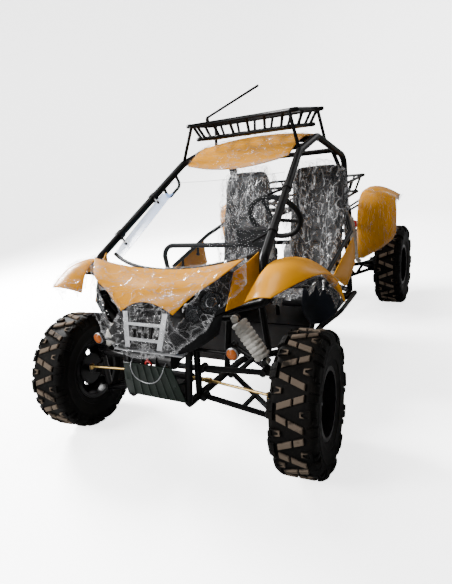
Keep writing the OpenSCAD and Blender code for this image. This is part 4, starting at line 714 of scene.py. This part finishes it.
restSteer = 5   # degrees, as the front wheels stand in the photo
looks["treadRubber"] = treadFinish("treadRubber", treadLook)
tyreMould, nutMould = buildTyre(tyreSetup), buildNuts(nutSetup)
for end, steer in (("Front", restSteer), ("Rear", 0)):
    for hand, side in (("Left", 1), ("Right", -1)):
        tyreNode, body = (f"{end}_{kind}_{hand}".lower() for kind in ("tyre", "wheel"))
        spot = wheelMatrix(tyreNode, side, steer)
        addWheelPiece("tyre" + end + hand, tyreMould, spot, side, "treadRubber", body, tyreNode)
        addWheelPiece("wheelNuts" + end + hand, nutMould, spot, side, "brightMetal", body)
print("tyres and nuts done")


# moulded panels, smoothed from the CAD sheets, with eased edges
panelSetup = {
    # piece: node, finish, slot
    "bonnetPanel": ("bonnet", "panelPaint", "yellow_panel"),
    "cowlPanels": ("cowl_sides", "panelPaint", "yellow_panel"),
    "frontFenderPanels": ("front_fenders", "panelPaint", "yellow_panel"),
    "roofPanel": ("roof_panel", "panelPaint", "yellow_panel"),
    "rearFenderPanels": ("rear_fenders", "panelPaint", "yellow_panel"),
    "sidePanels": ("side_panels", "panelPaint", "yellow_panel"),
    "mudguardPlates": ("mudguards", "guardPlastic", "black_plastic"),
    "noseShells": ("nose_cover", "blackPlastic", "black_plastic"),
    "lampHousings": ("headlamps", "blackPlastic", "black_plastic"),
    "skidShield": ("skid_plate", "skidPaint", "skid_paint"),
}
panelEdge = {"flat": 24, "shape": 60, "rim": 50, "ease": 0.0012}
fenderDroop = {"alongY": (0.80, 1.36), "acrossX": (0.50, 0.765), "fall": 0.035, "draw": 0.075}
roofBow = {"ahead": (0.08, 0.298), "half": 0.375, "reach": 0.040, "fall": 0.045}


def smoothCopy(node, setup):
    # quads again from the node's triangles, then eased rims
    bm = copyNode(node)
    bmesh.ops.join_triangles(bm, faces=bm.faces, angle_face_threshold=math.radians(setup["flat"]),
                             angle_shape_threshold=math.radians(setup["shape"]))
    rims = [e for e in bm.edges if e.is_manifold and e.calc_face_angle() > math.radians(setup["rim"])]
    bmesh.ops.bevel(bm, geom=rims, offset=setup["ease"], offset_type="OFFSET", segments=2, profile=0.5,
                    affect="EDGES", material=-1, clamp_overlap=True)
    return bm


def droopFenders(bm):
    # the rear fenders' outer corner sags behind the wheel
    for v in bm.verts:
        share = eased(v.co.y, *fenderDroop["alongY"]) * eased(abs(v.co.x), *fenderDroop["acrossX"])
        v.co.z -= fenderDroop["fall"] * share
        v.co.x -= math.copysign(fenderDroop["draw"] * share, v.co.x)


def bowRoof(bm):
    # the roof's front lip swings forward and down in the middle
    for v in bm.verts:
        share = eased(-v.co.y, *roofBow["ahead"]) * max(0, 1 - (v.co.x / roofBow["half"]) ** 2)
        v.co.y -= roofBow["reach"] * share
        v.co.z -= roofBow["fall"] * share


panelBends = {"rearFenderPanels": droopFenders, "roofPanel": bowRoof}
for name, (node, finish, slot) in panelSetup.items():
    bm = smoothCopy(node, panelEdge)
    if name in panelBends:
        panelBends[name](bm)
    addPiece(name, bm, [finish], sharp=44, instead=node)
print("panels smoothed:", len(panelSetup))


# coated bars: the racks, the whip and the steering wheel carry a thick skin
skinSetup = {
    # piece: node, finish, slot, body, skin
    "roofBasket": ("roof_rack", "tubePaint", "black_tube", "chassis", 0.0048),
    "rearBasket": ("rear_rack", "tubePaint", "black_tube", "chassis", 0.0036),
    "whip": ("antenna", "gripRubber", "black_rubber", "chassis", 0.0060),
    "wheelGrip": ("steering_wheel", "gripRubber", "black_plastic", "hand_wheel", 0.0015),
}
for name, (node, finish, slot, body, skin) in skinSetup.items():
    bm = copyNode(node)
    bm.normal_update()
    for v, push in [(v, v.normal.copy()) for v in bm.verts]:
        v.co += push * skin
    addPiece(name, bm, [finish], body, sharp=50, instead=node)
print("coated bars done")


# windscreen, with a milky blue strip left along the passenger's edge
screenSetup = {
    "stripWide": 0.100,
    "stripShare": 0.82,
    "topWeight": 4,
    "rimTurn": 0.5,
    "trimRadius": 0.010,
    "trimSteps": 36,
    "trimEnds": 0.440,
    "trimShift": (0, -0.002, 0.004),
}


def buildScreen(setup):
    bm = smoothCopy("windscreen", panelEdge)
    bm.normal_update()
    broad = max(bm.faces, key=lambda f: f.calc_area()).normal.copy()
    lowCorner = min((v.co.copy() for v in bm.verts), key=lambda p: p.x)
    topCorner = min((v.co.copy() for v in bm.verts), key=lambda p: p.x - setup["topWeight"] * p.z)
    line = (topCorner - lowCorner).cross(broad).normalized()
    line *= math.copysign(1, line.x)
    start = lowCorner + Vector((setup["stripWide"], 0, 0))
    end = lowCorner.z + setup["stripShare"] * (topCorner.z - lowCorner.z)
    for spot, way in ((start, line), (Vector((0, 0, end)), Vector((0, 0, 1)))):
        bmesh.ops.bisect_plane(bm, geom=bm.verts[:] + bm.edges[:] + bm.faces[:], plane_co=spot, plane_no=way)
    for face in bm.faces:
        middle = face.calc_center_median()
        if abs(face.normal.dot(broad)) < setup["rimTurn"]:
            face.material_index = 2
        else:
            face.material_index = 1 if (middle - start).dot(line) < 0 and middle.z < end else 0
    return bm


addPiece("screenPanel", buildScreen(screenSetup), ["screenClear", "stripFilm", "screenRim"], sharp=44,
         instead="windscreen")
lowRun = []
for i in range(screenSetup["trimSteps"] + 1):
    across = screenSetup["trimEnds"] * (2 * i / screenSetup["trimSteps"] - 1)
    spot = sliceEnd("windscreen", 0, across, lambda p: p.z)
    if spot:
        lowRun.append(spot + Vector(screenSetup["trimShift"]))
addTube("screenTrim", lowRun, screenSetup["trimRadius"], "gripRubber")
print("windscreen and trim done")


# pleated sleeves on the shocks, crumpled, with bare metal eyes
sleeveSetup = {"cut": 0.012, "push": 0.0035, "scale": 62, "finer": 2.3, "fineShare": 0.6, "bare": 0.026,
               "bareFace": 0.8}


def buildSleeves(node, setup):
    bm = copyNode(node)
    long = [e for e in bm.edges if e.calc_length() > setup["cut"]]
    bmesh.ops.subdivide_edges(bm, edges=long, cuts=2, use_grid_fill=True)
    bm.normal_update()
    ends = {}
    for side in (-1, 1):
        dots = [v.co.copy() for v in bm.verts if v.co.x * side > 0]
        ends[side] = min(dots, key=lambda p: p.z), max(dots, key=lambda p: p.z)

    def offAxis(spot):
        low, high = ends[-1 if spot.x < 0 else 1]
        axis = (high - low).normalized()
        return (spot - low - axis * (spot - low).dot(axis)).length

    for v in bm.verts:
        if offAxis(v.co) > setup["bare"]:
            fine = noise.noise(v.co * setup["finer"] * setup["scale"])
            crumple = noise.noise(v.co * setup["scale"]) + setup["fineShare"] * fine
            v.co += v.normal * setup["push"] * crumple
    for face in bm.faces:
        bare = offAxis(face.calc_center_median()) <= setup["bare"] * setup["bareFace"]
        face.material_index = 1 if bare else 0
    return bm


for node, name in (("front_shocks", "frontSleeves"), ("rear_shocks", "rearSleeves")):
    bm = buildSleeves(node, sleeveSetup)
    addPiece(name, bm, ["sleeveWrap", "darkMetal"], sharp=50, instead=node)
print("sleeves done")


# clear packing film
filmCommon = {"bump": (0.8, 0.004), "specular": 0.8}
filmLooks = {
    # finish: fold scale, sharpness, alpha between folds and alpha of the painted highlights on them, hem,
    # colour, roughness, stretch
    "noseFilm": (15.0, 0.020, 0.02, 0.55, 0.30, (0.46, 0.46, 0.47), 0.12, (0.55, 1.4, 1.0)),
    "bagFilm": (11.0, 0.030, 0.05, 0.72, 0.20, (0.54, 0.545, 0.555), 0.14, (1.5, 1.5, 0.5)),
    "streakFilm": (12.0, 0.018, 0.02, 0.42, 0.30, (0.46, 0.46, 0.47), 0.12, (2.4, 1.2, 0.28)),
    "tatterFilm": (18.0, 0.03, 0.08, 0.42, 0.20, (0.42, 0.41, 0.395), 0.16, (1, 1, 1)),
}


def filmFinish(name, fold, sharpness, clear, highlightAlpha, hem, color, roughness, stretch):
    material, tree, shader = startMaterial(name)
    creases = addNode(tree, "Group", {"Fold Scale": fold, "Stretch": stretch, "Sharpness": sharpness},
                      node_tree=creaseGroup)
    edge = addNode(tree, "Attribute", attribute_name="filmEdge")
    # the whitish film is made more opaque along the folds: painted highlights on the folds
    filmAndHighlightAlpha = addNode(tree, "MapRange", {"To Min": clear, "To Max": highlightAlpha}, {"Value": creases.outputs["Fold Highlights"]})
    alpha = addNode(tree, "Math", {1: hem}, {0: edge.outputs["Fac"], 2: filmAndHighlightAlpha.outputs[0]},
                    operation="MULTIPLY_ADD", use_clamp=True)
    setInputs(tree, shader, {"Base Color": (*color, 1), "Roughness": roughness,
                             "Specular IOR Level": filmCommon["specular"]}, {"Alpha": alpha.outputs[0]})
    addBump(tree, shader, creases.outputs["Height"], *filmCommon["bump"])
    return material


looks.update({name: filmFinish(name, *row) for name, row in filmLooks.items()})
lampFrames = islandFrames("headlamp_glasses")


def solidTree(names):
    bm = copyNode(*names)
    tree = BVHTree.FromBMesh(bm)
    bm.free()
    return tree


def castGrid(setup):
    # a flat grid, with each vertex's shares of the sheet and the place where its ray starts
    corner, across, up = (Vector(setup[k]) for k in ("corner", "across", "up"))
    cols, rows = (round(side.length / setup["cell"]) for side in (across, up))
    bm = bmesh.new()
    bmesh.ops.create_grid(bm, x_segments=cols, y_segments=rows, size=0.5)
    shares = {v: (v.co.x + 0.5, v.co.y + 0.5) for v in bm.verts}
    base = {v: corner + across * a + up * b for v, (a, b) in shares.items()}
    return bm, shares, base


def markEdges(bm, rings):
    # 1 on the film's own border, fading inwards
    edge = bm.verts.layers.float.new("filmEdge")
    ring = {v for v in bm.verts if v.is_boundary}
    seen, share = set(), 1.0
    while ring and share > 0:
        for v in ring:
            v[edge] = share
        seen |= ring
        ring = {e.other_vert(v) for v in ring for e in v.link_edges} - seen
        share -= 1.0 / rings


def sheetArea(name, bm):
    print(name, "area", round(sum(f.calc_area() for f in bm.faces), 4))


hangSetup = {"least": 0.45, "vary": 1.5, "scale": 5.0, "spread": 0.30, "flutter": 0.08,
             "flutterScale": 30, "drop": 0.85}


def hangOver(place, base, cast, setup):
    # rows of film that go on past the edge, by ragged lengths
    ring, hung = list(place), 0.0
    while ring and hung < setup["hang"]:
        hung += setup["cell"]
        after = []
        for v in ring:
            for e in v.link_edges:
                w = e.other_vert(v)
                ragged = hangSetup["least"] + hangSetup["vary"] * abs(noise.noise(base[w] * hangSetup["scale"]))
                if w in place or hung > setup["hang"] * ragged:
                    continue
                flutter = hangSetup["flutter"] * noise.noise(base[w] * hangSetup["flutterScale"])
                spread = hangSetup["spread"] + flutter
                place[w] = place[v] + (base[w] - base[v]) * spread + cast * setup["cell"] * hangSetup["drop"]
                after.append(w)
        ring = after


def drapeFilm(name, setup):
    # a grid laid against what carries it along one direction, stretched over hollows, creased,
    # and hanging past the edges
    tree = solidTree(setup["over"])
    cast = Vector(setup["cast"]).normalized()
    bm, shares, base = castGrid(setup)
    limit = {}
    for v in bm.verts:
        far = tree.ray_cast(base[v], cast, setup["deep"])[3]
        if far is not None and setup["keep"](*shares[v]):
            limit[v] = far - setup["lift"]
    depth = dict(limit)
    for i in range(setup["stretch"]):
        for v in depth:
            near = [depth[e.other_vert(v)] for e in v.link_edges if e.other_vert(v) in depth]
            depth[v] = min(limit[v], sum(near) / len(near)) if near else limit[v]
    place = {}
    for v in depth:
        crease = setup["crease"] * ridged(base[v] * Vector(setup["pull"]), setup["scale"])
        place[v] = base[v] + cast * (depth[v] - crease)
    hangOver(place, base, cast, setup)
    bmesh.ops.delete(bm, geom=[v for v in bm.verts if v not in place], context="VERTS")
    for v in bm.verts:
        v.co = place[v]
    bmesh.ops.delete(bm, geom=[v for v in bm.verts if not v.link_faces], context="VERTS")
    bmesh.ops.smooth_vert(bm, verts=[v for v in bm.verts if not v.is_boundary], factor=setup["smooth"],
                          use_axis_x=True, use_axis_y=True, use_axis_z=True)
    if name == "filmRoof":
        bowRoof(bm)
    bmesh.ops.recalc_face_normals(bm, faces=bm.faces)
    markEdges(bm, setup["rings"])
    if "taut" in setup:
        edge = bm.verts.layers.float["filmEdge"]   # pulled tight and clear over the lamps
        for v in bm.verts:
            if any((v.co - middle).length < far * setup["taut"] for middle, axis, far, tall in lampFrames):
                v[edge] = setup["tautEdge"]
    sheetArea(name, bm)
    piece = addPiece(name, bm, [setup["finish"]])


noseCut = {"low": 0.02, "rise": 0.52, "from": 0.30, "wave": 0.02, "waves": 23}


def noseOutline(a, b):
    # wide over the bonnet, drawn in to the winch below
    out = max(0, abs(2 * a - 1) - noseCut["from"]) / (1 - noseCut["from"])
    return b > noseCut["low"] + noseCut["rise"] * out + noseCut["wave"] * math.sin(noseCut["waves"] * a)


sheetCommon = {"cell": 0.009, "lift": 0.004, "stretch": 12, "crease": 0.016, "scale": 15, "cast": (0, 0, -1),
               "deep": 1.0, "keep": lambda a, b: True, "finish": "noseFilm", "smooth": 0.25, "rings": 3}
rearSheet = {
    "over": ["rear_fenders"], "rests": ["rear_fenders"],
    "across": (0.36, 0, 0), "up": (0, 0, 0.60), "cast": (0, 1, 0), "cell": 0.010,
    "crease": 0.013, "scale": 13, "pull": (1.8, 1, 0.35), "hang": 0.03,
    "finish": "streakFilm", "flat": (0.42, 0.62), "area": 0.20, "deep": 0.45}
filmSetup = {
    "filmNose": {
        "over": ["bonnet", "nose_cover", "grille", "grille_trim", "headlamps", "headlamp_glasses", "cowl_sides",
                 "winch", "winch_plate"],
        "rests": ["bonnet", "grille"],
        "corner": (-0.46, -1.81, 0.87), "across": (0.92, 0, 0), "up": (0, 0.300, 0.400), "cast": (0, 0.8, -0.6),
        "cell": 0.0075, "stretch": 40, "crease": 0.017, "pull": (0.55, 1.4, 1.0), "hang": 0.02,
        "keep": noseOutline, "flat": (0.92, 0.62), "area": 0.45, "deep": 0.75, "taut": 1.25, "tautEdge": -1.3},
    "filmFenderRight": {
        "over": ["front_fenders"], "rests": ["front_fenders"],
        "corner": (-0.81, -1.36, 1.15), "across": (0.37, 0, 0), "up": (0, 0.56, 0),
        "scale": 17, "pull": (1, 0.6, 1), "hang": 0.075, "flat": (0.40, 0.62), "area": 0.15},
    "filmRoof": {
        "over": ["roof_panel"], "rests": ["roof_panel"],
        "corner": (-0.37, -0.33, 1.75), "across": (0.74, 0, 0), "up": (0, 0.36, 0),
        "pull": (0.6, 1.4, 1), "hang": 0.07, "flat": (0.74, 0.40), "area": 0.26},
    "filmRearLeft": {**rearSheet, "corner": (0.43, 0.40, 0.47)},
    "filmRearRight": {**rearSheet, "corner": (-0.79, 0.40, 0.47)},
}
for name, setup in filmSetup.items():
    drapeFilm(name, {**sheetCommon, **setup})
print("draped film done")


# black sheet behind the nose, the lamps and the grille bars: partly a dark radiator, partly painted shade
# inside the nose
darkSheetSetup = {
    "over": ["bonnet", "nose_cover", "grille", "headlamps", "cowl_sides"],
    "corner": (-0.40, -1.81, 0.90), "across": (0.80, 0, 0), "up": (0, 0.255, 0.340), "cast": (0, 0.8, -0.6),
    "deep": 0.75, "cell": 0.02, "back": 0.052, "stretch": 60, "pressed": 20, "wall": 0.003,
    "narrow": 0.94, "lower": 0.06}


def buildDarkSheet(setup):
    tree, cast = solidTree(setup["over"]), Vector(setup["cast"])
    bm, shares, base = castGrid(setup)
    outside = [v for v, (a, b) in shares.items()
               if not noseOutline((a - 0.5) * setup["narrow"] + 0.5, b - setup["lower"])]
    bmesh.ops.delete(bm, geom=outside, context="VERTS")
    depth = {}
    for v in bm.verts:
        far = tree.ray_cast(base[v], cast, setup["deep"])[3]
        if far:
            depth[v] = far + setup["back"]
    for i in range(setup["stretch"]):
        for v in bm.verts:
            near = [depth[e.other_vert(v)] for e in v.link_edges if e.other_vert(v) in depth]
            if near:
                mean = sum(near) / len(near)
                depth[v] = max(mean, depth[v]) if v in depth and i < setup["pressed"] else mean
    bmesh.ops.delete(bm, geom=[v for v in bm.verts if v not in depth], context="VERTS")
    for v in bm.verts:
        v.co = base[v] + cast * depth[v]
    bmesh.ops.recalc_face_normals(bm, faces=bm.faces)
    bmesh.ops.solidify(bm, geom=bm.faces[:], thickness=setup["wall"])
    return bm


# a black sheet that stands in for the radiator and for the painted shade inside the nose
addPiece("noseDarkSheet", buildDarkSheet(darkSheetSetup), ["tubePaint"], sharp=50)
print("liner done")


# torn film hanging from panel edges
tatterSetup = {
    # piece: node, side, from y, to y, longest drop, seed, flat size, flat area
    "tatterFenderLeft": ("front_fenders", 1, -1.300, -0.900, 0.130, 3.0, (0.46, 0.13), 0.030),
    "tatterGuardLeft": ("mudguards", 1, -0.880, -0.815, 0.110, 8.0, (0.12, 0.12), 0.0085),
    "tatterFenderRight": ("front_fenders", -1, -1.300, -0.900, 0.110, 12.0, (0.46, 0.12), 0.026),
    "tatterRearLeft": ("rear_fenders", 1, 0.760, 0.980, 0.120, 21.0, (0.24, 0.12), 0.014),
    "tatterRearRight": ("rear_fenders", -1, 0.760, 0.980, 0.110, 27.0, (0.24, 0.12), 0.013),
}
tatterGrid = {
    "cols": 46,
    "rows": 12,
    "tear": (7, 1.4),   # how often along the edge, and how deep
    "nick": (31, 0.3),
    "least": 0.25,
    "shortest": 0.01,
    "lowest": 0.672,
    "under": 0.002,
    "fold": 0.030,
    "folds": (11, 1.6),   # along the edge, and down
    "sway": 0.5,
    "tuck": 0.010,
    "tuckOut": 2.5,
    "rings": 2,
}


def hangTatter(name, node, side, start, end, drop, seed, flat, area):
    grid = tatterGrid
    rim = []
    for i in range(grid["cols"] + 1):
        spot = sliceEnd(node, 1, start + (end - start) * i / grid["cols"], lambda p: -side * p.x)
        rim.append(spot or rim[-1])
    bm = bmesh.new()
    bmesh.ops.create_grid(bm, x_segments=grid["cols"], y_segments=grid["rows"], size=0.5)
    for v in bm.verts:
        a, b = v.co.x + 0.5, 0.5 - v.co.y
        top = rim[round(a * grid["cols"])]
        ragged = sum(deep * noise.noise(Vector((a * often, seed, shift)))
                     for (often, deep), shift in ((grid["tear"], 0), (grid["nick"], 5)))
        fall = min(drop * (grid["least"] + max(0, ragged)), top.z - grid["lowest"])
        fold = grid["fold"] * b * noise.noise(Vector((a * grid["folds"][0], b * grid["folds"][1], seed + 9)))
        inward = grid["tuck"] * (1 - grid["tuckOut"] * b) - abs(fold)
        down = grid["under"] + max(fall, grid["shortest"]) * b
        v.co = top + Vector((side * inward, grid["sway"] * fold, -down))
    bmesh.ops.recalc_face_normals(bm, faces=bm.faces)
    markEdges(bm, grid["rings"])
    sheetArea(name, bm)
    piece = addPiece(name, bm, ["tatterFilm"])


for name, row in tatterSetup.items():
    hangTatter(name, *row)
print("tatters done")


# bucket seats: padded vinyl swollen by cloth pressure, then sewn seams
seatSetup = {
    "voxel": 0.011,
    "soften": 9,
    "smooth": 0.5,
    "rounding": 0.3,
    "broad": 0.34,
    "broadFrom": (1.04, 1.26),
    "pressure": 4.0,
    "stiffness": 12,
    "frames": 20,
    "cap": 0.014,
    "bolster": 0.128,
    "seamDepth": 0.006,
    "seamWidth": 0.006,
    "seamFace": 0.25,   # how far a sewn face looks up or ahead
    "behind": (0.2, 0.5),
    "backFace": 0.4,
    "backSeams": (0.74, 0.83, 0.92, 1.01),
    "baseFace": 0.6,
    "baseTop": 0.75,
    "baseSeams": (-0.27, -0.18, -0.09),
    "fill": 0.7,
}
bagSetup = {
    "voxel": 0.022,
    "least": 0.018,
    "crease": 0.042,
    "scale": 7.0,
    "upright": 0.55,
    "share": 0.5,
    "hem": 0.52,
    "hemWave": (0.03, 9),
    "rounding": 0.5,
    "rings": 3,
    "flat": (1.15, 1.05),
    "area": 1.1,
}


def openMesh(piece):
    bm = bmesh.new()
    bm.from_mesh(piece.data)
    return bm


def closeMesh(piece, bm):
    bm.to_mesh(piece.data)
    bm.free()
    piece.data.shade_smooth()


def broaden(bm, middle):
    # the back's top is wider than the frame inside it
    for v in bm.verts:
        v.co.x += (v.co.x - middle) * seatSetup["broad"] * eased(v.co.z, *seatSetup["broadFrom"])


def applied(piece):
    # the piece's mesh with its modifiers made real
    seen = piece.evaluated_get(bpy.context.evaluated_depsgraph_get())
    mesh = bpy.data.meshes.new_from_object(seen)
    piece.modifiers.clear()
    old, piece.data = piece.data, mesh
    bpy.data.meshes.remove(old)


def remeshed(piece, voxel):
    cubes = piece.modifiers.new("cubes", "REMESH")
    cubes.mode, cubes.voxel_size, cubes.use_smooth_shade = "VOXEL", voxel, True
    applied(piece)


def swell(piece, setup):
    scene = bpy.context.scene
    start = [v.co.copy() for v in piece.data.vertices]
    pad = piece.modifiers.new("padFill", "CLOTH")
    pad.settings.use_pressure = True
    pad.settings.uniform_pressure_force = setup["pressure"]
    pad.settings.effector_weights.gravity = 0
    pad.settings.tension_stiffness = pad.settings.compression_stiffness = setup["stiffness"]
    pad.point_cache.frame_start, pad.point_cache.frame_end = 1, setup["frames"]
    for step in range(1, setup["frames"] + 1):
        scene.frame_set(step)
    applied(piece)
    scene.frame_set(1)
    for v, spot in zip(piece.data.vertices, start):
        move = v.co - spot
        if move.length > setup["cap"]:
            v.co = spot + move * (setup["cap"] / move.length)


def sewSeams(piece, middle, setup):
    bm = openMesh(piece)
    bmesh.ops.subdivide_edges(bm, edges=bm.edges, cuts=1, use_grid_fill=True, smooth=setup["rounding"])
    bm.normal_update()
    move = {}
    for v in bm.verts:
        x, n = abs(v.co.x - middle), v.normal
        if n.y > setup["behind"][0] and n.z < setup["behind"][1]:
            continue
        away = [abs(x - setup["bolster"])]
        if x < setup["bolster"]:
            if n.z > setup["baseFace"] and v.co.z < setup["baseTop"]:
                away += [abs(v.co.y - y) for y in setup["baseSeams"]]
            elif n.y < -setup["backFace"]:
                away += [abs(v.co.z - z) for z in setup["backSeams"]]
        if n.z > setup["seamFace"] or n.y < -setup["seamFace"]:
            move[v] = setup["seamDepth"] * math.exp(-(min(away) / setup["seamWidth"]) ** 2)
    for v, deep in move.items():
        v.co -= v.normal * deep
    closeMesh(piece, bm)


def padSeat(name, node, middle, setup):
    piece = addPiece(name, copyNode(node), ["seatVinyl"])
    remeshed(piece, setup["voxel"])
    bm = openMesh(piece)
    broaden(bm, middle)
    for i in range(setup["soften"]):
        bmesh.ops.smooth_vert(bm, verts=bm.verts, factor=setup["smooth"],
                              use_axis_x=True, use_axis_y=True, use_axis_z=True)
    closeMesh(piece, bm)
    swell(piece, setup)
    sewSeams(piece, middle, setup)
    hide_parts(node)


def bagSeat(name, node, middle, setup):
    # a clear bag over the seat, open below
    others = solidTree([n for n in cadNodes if n not in (node, "seat_feet")])
    piece = addPiece(name, copyNode(node), ["bagFilm"])
    remeshed(piece, setup["voxel"])
    bm = openMesh(piece)
    broaden(bm, middle)
    bmesh.ops.subdivide_edges(bm, edges=bm.edges, cuts=1, use_grid_fill=True, smooth=setup["rounding"])
    bm.normal_update()
    place = {}
    for v in bm.verts:
        crease = setup["crease"] * ridged(v.co * Vector((1, 1, setup["upright"])), setup["scale"])
        room = setup["share"] * others.find_nearest(v.co)[3]
        place[v] = v.co + v.normal * min(setup["least"] + crease, room)
    for v in bm.verts:
        v.co = place[v]
    wave, often = setup["hemWave"]
    low = [v for v in bm.verts if v.co.z < setup["hem"] + wave * noise.noise(v.co * often)]
    bmesh.ops.delete(bm, geom=low, context="VERTS")
    markEdges(bm, setup["rings"])
    sheetArea(name, bm)
    closeMesh(piece, bm)


for hand in ("Left", "Right"):
    node = "seat_" + hand.lower()
    low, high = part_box(node)
    padSeat("seatPad" + hand, node, (low.x + high.x) / 2, seatSetup)
    bagSeat("seatBag" + hand, node, (low.x + high.x) / 2, bagSetup)
print("seats and bags done")


# headlamps: dark bowls, bright rings and domed lenses in the housings' holes
lampSetup = {
    # shares of the radius, and heights
    "bowl": ((0.98, 0.006), (0.90, 0.004), (0.78, -0.006), (0.60, -0.013), (0.52, -0.014)),
    "ring": ((0.52, -0.014), (0.52, 0.004), (0.46, 0.006), (0.44, 0.002), (0.40, -0.006)),
    "bowlWall": 0.0012,
    "dome": 0.42,
    "domeFoot": -0.012,
    "domeBase": -0.008,
    "domeRise": 0.012,
    "cover": 0.97,
    "coverRise": 0.006,
    "coverInside": (0.97, 0.0022),
    "seat": 0.004,
    "steps": 40,
}
axisGap = 0.0001   # how near the axis a spun profile starts


def spunStrip(bm, profile, spot, steps):
    # a profile of radius and height pairs, spun round the local Z axis
    found = connected(spinRun(bm, [(r, 0, h) for r, h in profile], (0, 0, 1), steps))
    bmesh.ops.remove_doubles(bm, verts=found, dist=1e-6)
    found = [v for v in found if v.is_valid]
    bmesh.ops.transform(bm, matrix=spot, verts=found)
    return found


def domeProfile(radius, rise, base, count=7):
    turns = [math.pi / 2 * i / count for i in range(count + 1)]
    return [(radius * math.cos(a), base + rise * math.sin(a)) for a in turns]


def turned(middle, axis):
    return Matrix.Translation(middle) @ axis.to_track_quat("Z", "Y").to_matrix().to_4x4()


def addLamp(bowls, lenses, setup, middle, axis, radius, tall):
    spot, steps = turned(middle, axis), setup["steps"]
    for i, key in enumerate(("bowl", "ring")):
        made = spunStrip(bowls, [(radius * r, h) for r, h in setup[key]], spot, steps)
        for face in {f for v in made for f in v.link_faces}:
            face.material_index = i
    wide, foot = radius * setup["dome"], setup["domeFoot"]
    dome = [(axisGap, foot), (wide, foot)] + domeProfile(wide, setup["domeRise"], setup["domeBase"])
    spunStrip(lenses, dome, spot, steps)
    outer = domeProfile(radius * setup["cover"], setup["coverRise"], tall - setup["seat"])
    share, thick = setup["coverInside"]
    inner = [(r * share, h - thick) for r, h in reversed(outer)]
    spunStrip(lenses, outer + inner + outer[:1], spot, steps)


bowls, lenses = bmesh.new(), bmesh.new()
for lampFrame in lampFrames:
    addLamp(bowls, lenses, lampSetup, *lampFrame)
for bm in (lenses, bowls):
    bmesh.ops.recalc_face_normals(bm, faces=bm.faces)
bmesh.ops.solidify(bowls, geom=bowls.faces[:], thickness=lampSetup["bowlWall"])
addPiece("lampBowls", bowls, ["lampBowl", "lampRing"], sharp=40)
addPiece("lampLenses", lenses, ["lampClear"], sharp=60, instead="headlamp_glasses")

# turn lamps: ribbed amber domes in bright bezels on black cups
turnSetup = {
    # shares of the radius, and heights from the back or front
    "cupBack": ((0.75, 0.0), (0.97, 0.010)),
    "cupFront": ((0.97, -0.018), (1.0, -0.016), (1.0, -0.010), (0.90, -0.008), (0.86, -0.012)),
    "bezelY": -1.298,
    "domeFoot": (0.85, -0.0125),
    "domeWide": 0.84,
    "domeBase": -0.010,
    "domeRise": 0.009,
    "rib": 0.0007,
    "ribs": 7,
    "steps": 36,
}


def addTurnLamp(cups, domes, setup, middle, axis, radius, tall):
    spot, steps = turned(middle, axis), setup["steps"]
    cup = [(axisGap, -tall)] + [(radius * r, h - tall) for r, h in setup["cupBack"]]
    cup += [(radius * r, h + tall) for r, h in setup["cupFront"]]
    spunStrip(cups, cup + [(axisGap, cup[-1][1])], spot, steps)
    share, foot = setup["domeFoot"]
    dome = [(axisGap, tall + foot), (radius * share, tall + foot)]
    count = 4 * setup["ribs"]
    for i in range(count + 1):
        a = math.pi / 2 * i / count
        wave = setup["rib"] * math.sin(math.pi / 2 * i)
        dome.append(((radius * setup["domeWide"] + wave) * math.cos(a) + axisGap,
                     tall + setup["domeBase"] + (setup["domeRise"] + wave) * math.sin(a)))
    spunStrip(domes, dome, spot, steps)


cups, domes = bmesh.new(), bmesh.new()
for lampFrame in islandFrames("turn_lamps"):
    addTurnLamp(cups, domes, turnSetup, *lampFrame)
for bm in (cups, domes):
    bmesh.ops.recalc_face_normals(bm, faces=bm.faces)
for face in cups.faces:
    face.material_index = 1 if face.calc_center_median().y < turnSetup["bezelY"] else 0
addPiece("turnCups", cups, ["blackPlastic", "brightMetal"], sharp=40)
addPiece("turnDomes", domes, ["amberLens"], instead="turn_lamps")
print("lamps done")


# winch wire: a short loop hanging below the drum, both ends held in the winch
wireSetup = {
    "diameter": 0.005,
    "length": 0.350,
    "steps": 3,
    "knots": (
        (-0.095, -1.385, 0.572), (-0.096, -1.408, 0.556), (-0.090, -1.424, 0.530), (-0.072, -1.432, 0.500),
        (-0.040, -1.434, 0.478), (0.0, -1.434, 0.470), (0.040, -1.434, 0.476), (0.072, -1.432, 0.497),
        (0.092, -1.424, 0.526), (0.099, -1.408, 0.552), (0.100, -1.385, 0.568)),
}


def smoothRun(knots, steps):
    # a rounded path through the knots
    dots = [Vector(k) for k in knots]
    run = []
    for i in range(len(dots) - 1):
        a, b, c, d = dots[max(i - 1, 0)], dots[i], dots[i + 1], dots[min(i + 2, len(dots) - 1)]
        for k in range(steps):
            t = k / steps
            square, cube = 2 * a - 5 * b + 4 * c - d, 3 * b - a - 3 * c + d
            run.append(0.5 * (2 * b + (c - a) * t + square * t * t + cube * t ** 3))
    return run + [dots[-1]]


wireRun = smoothRun(wireSetup["knots"], wireSetup["steps"])
print("wire length", round(sum((b - a).length for a, b in zip(wireRun, wireRun[1:])), 3))
wire = addTube("winchWire", wireRun, wireSetup["diameter"] / 2, "brightMetal")
print("winch wire done")
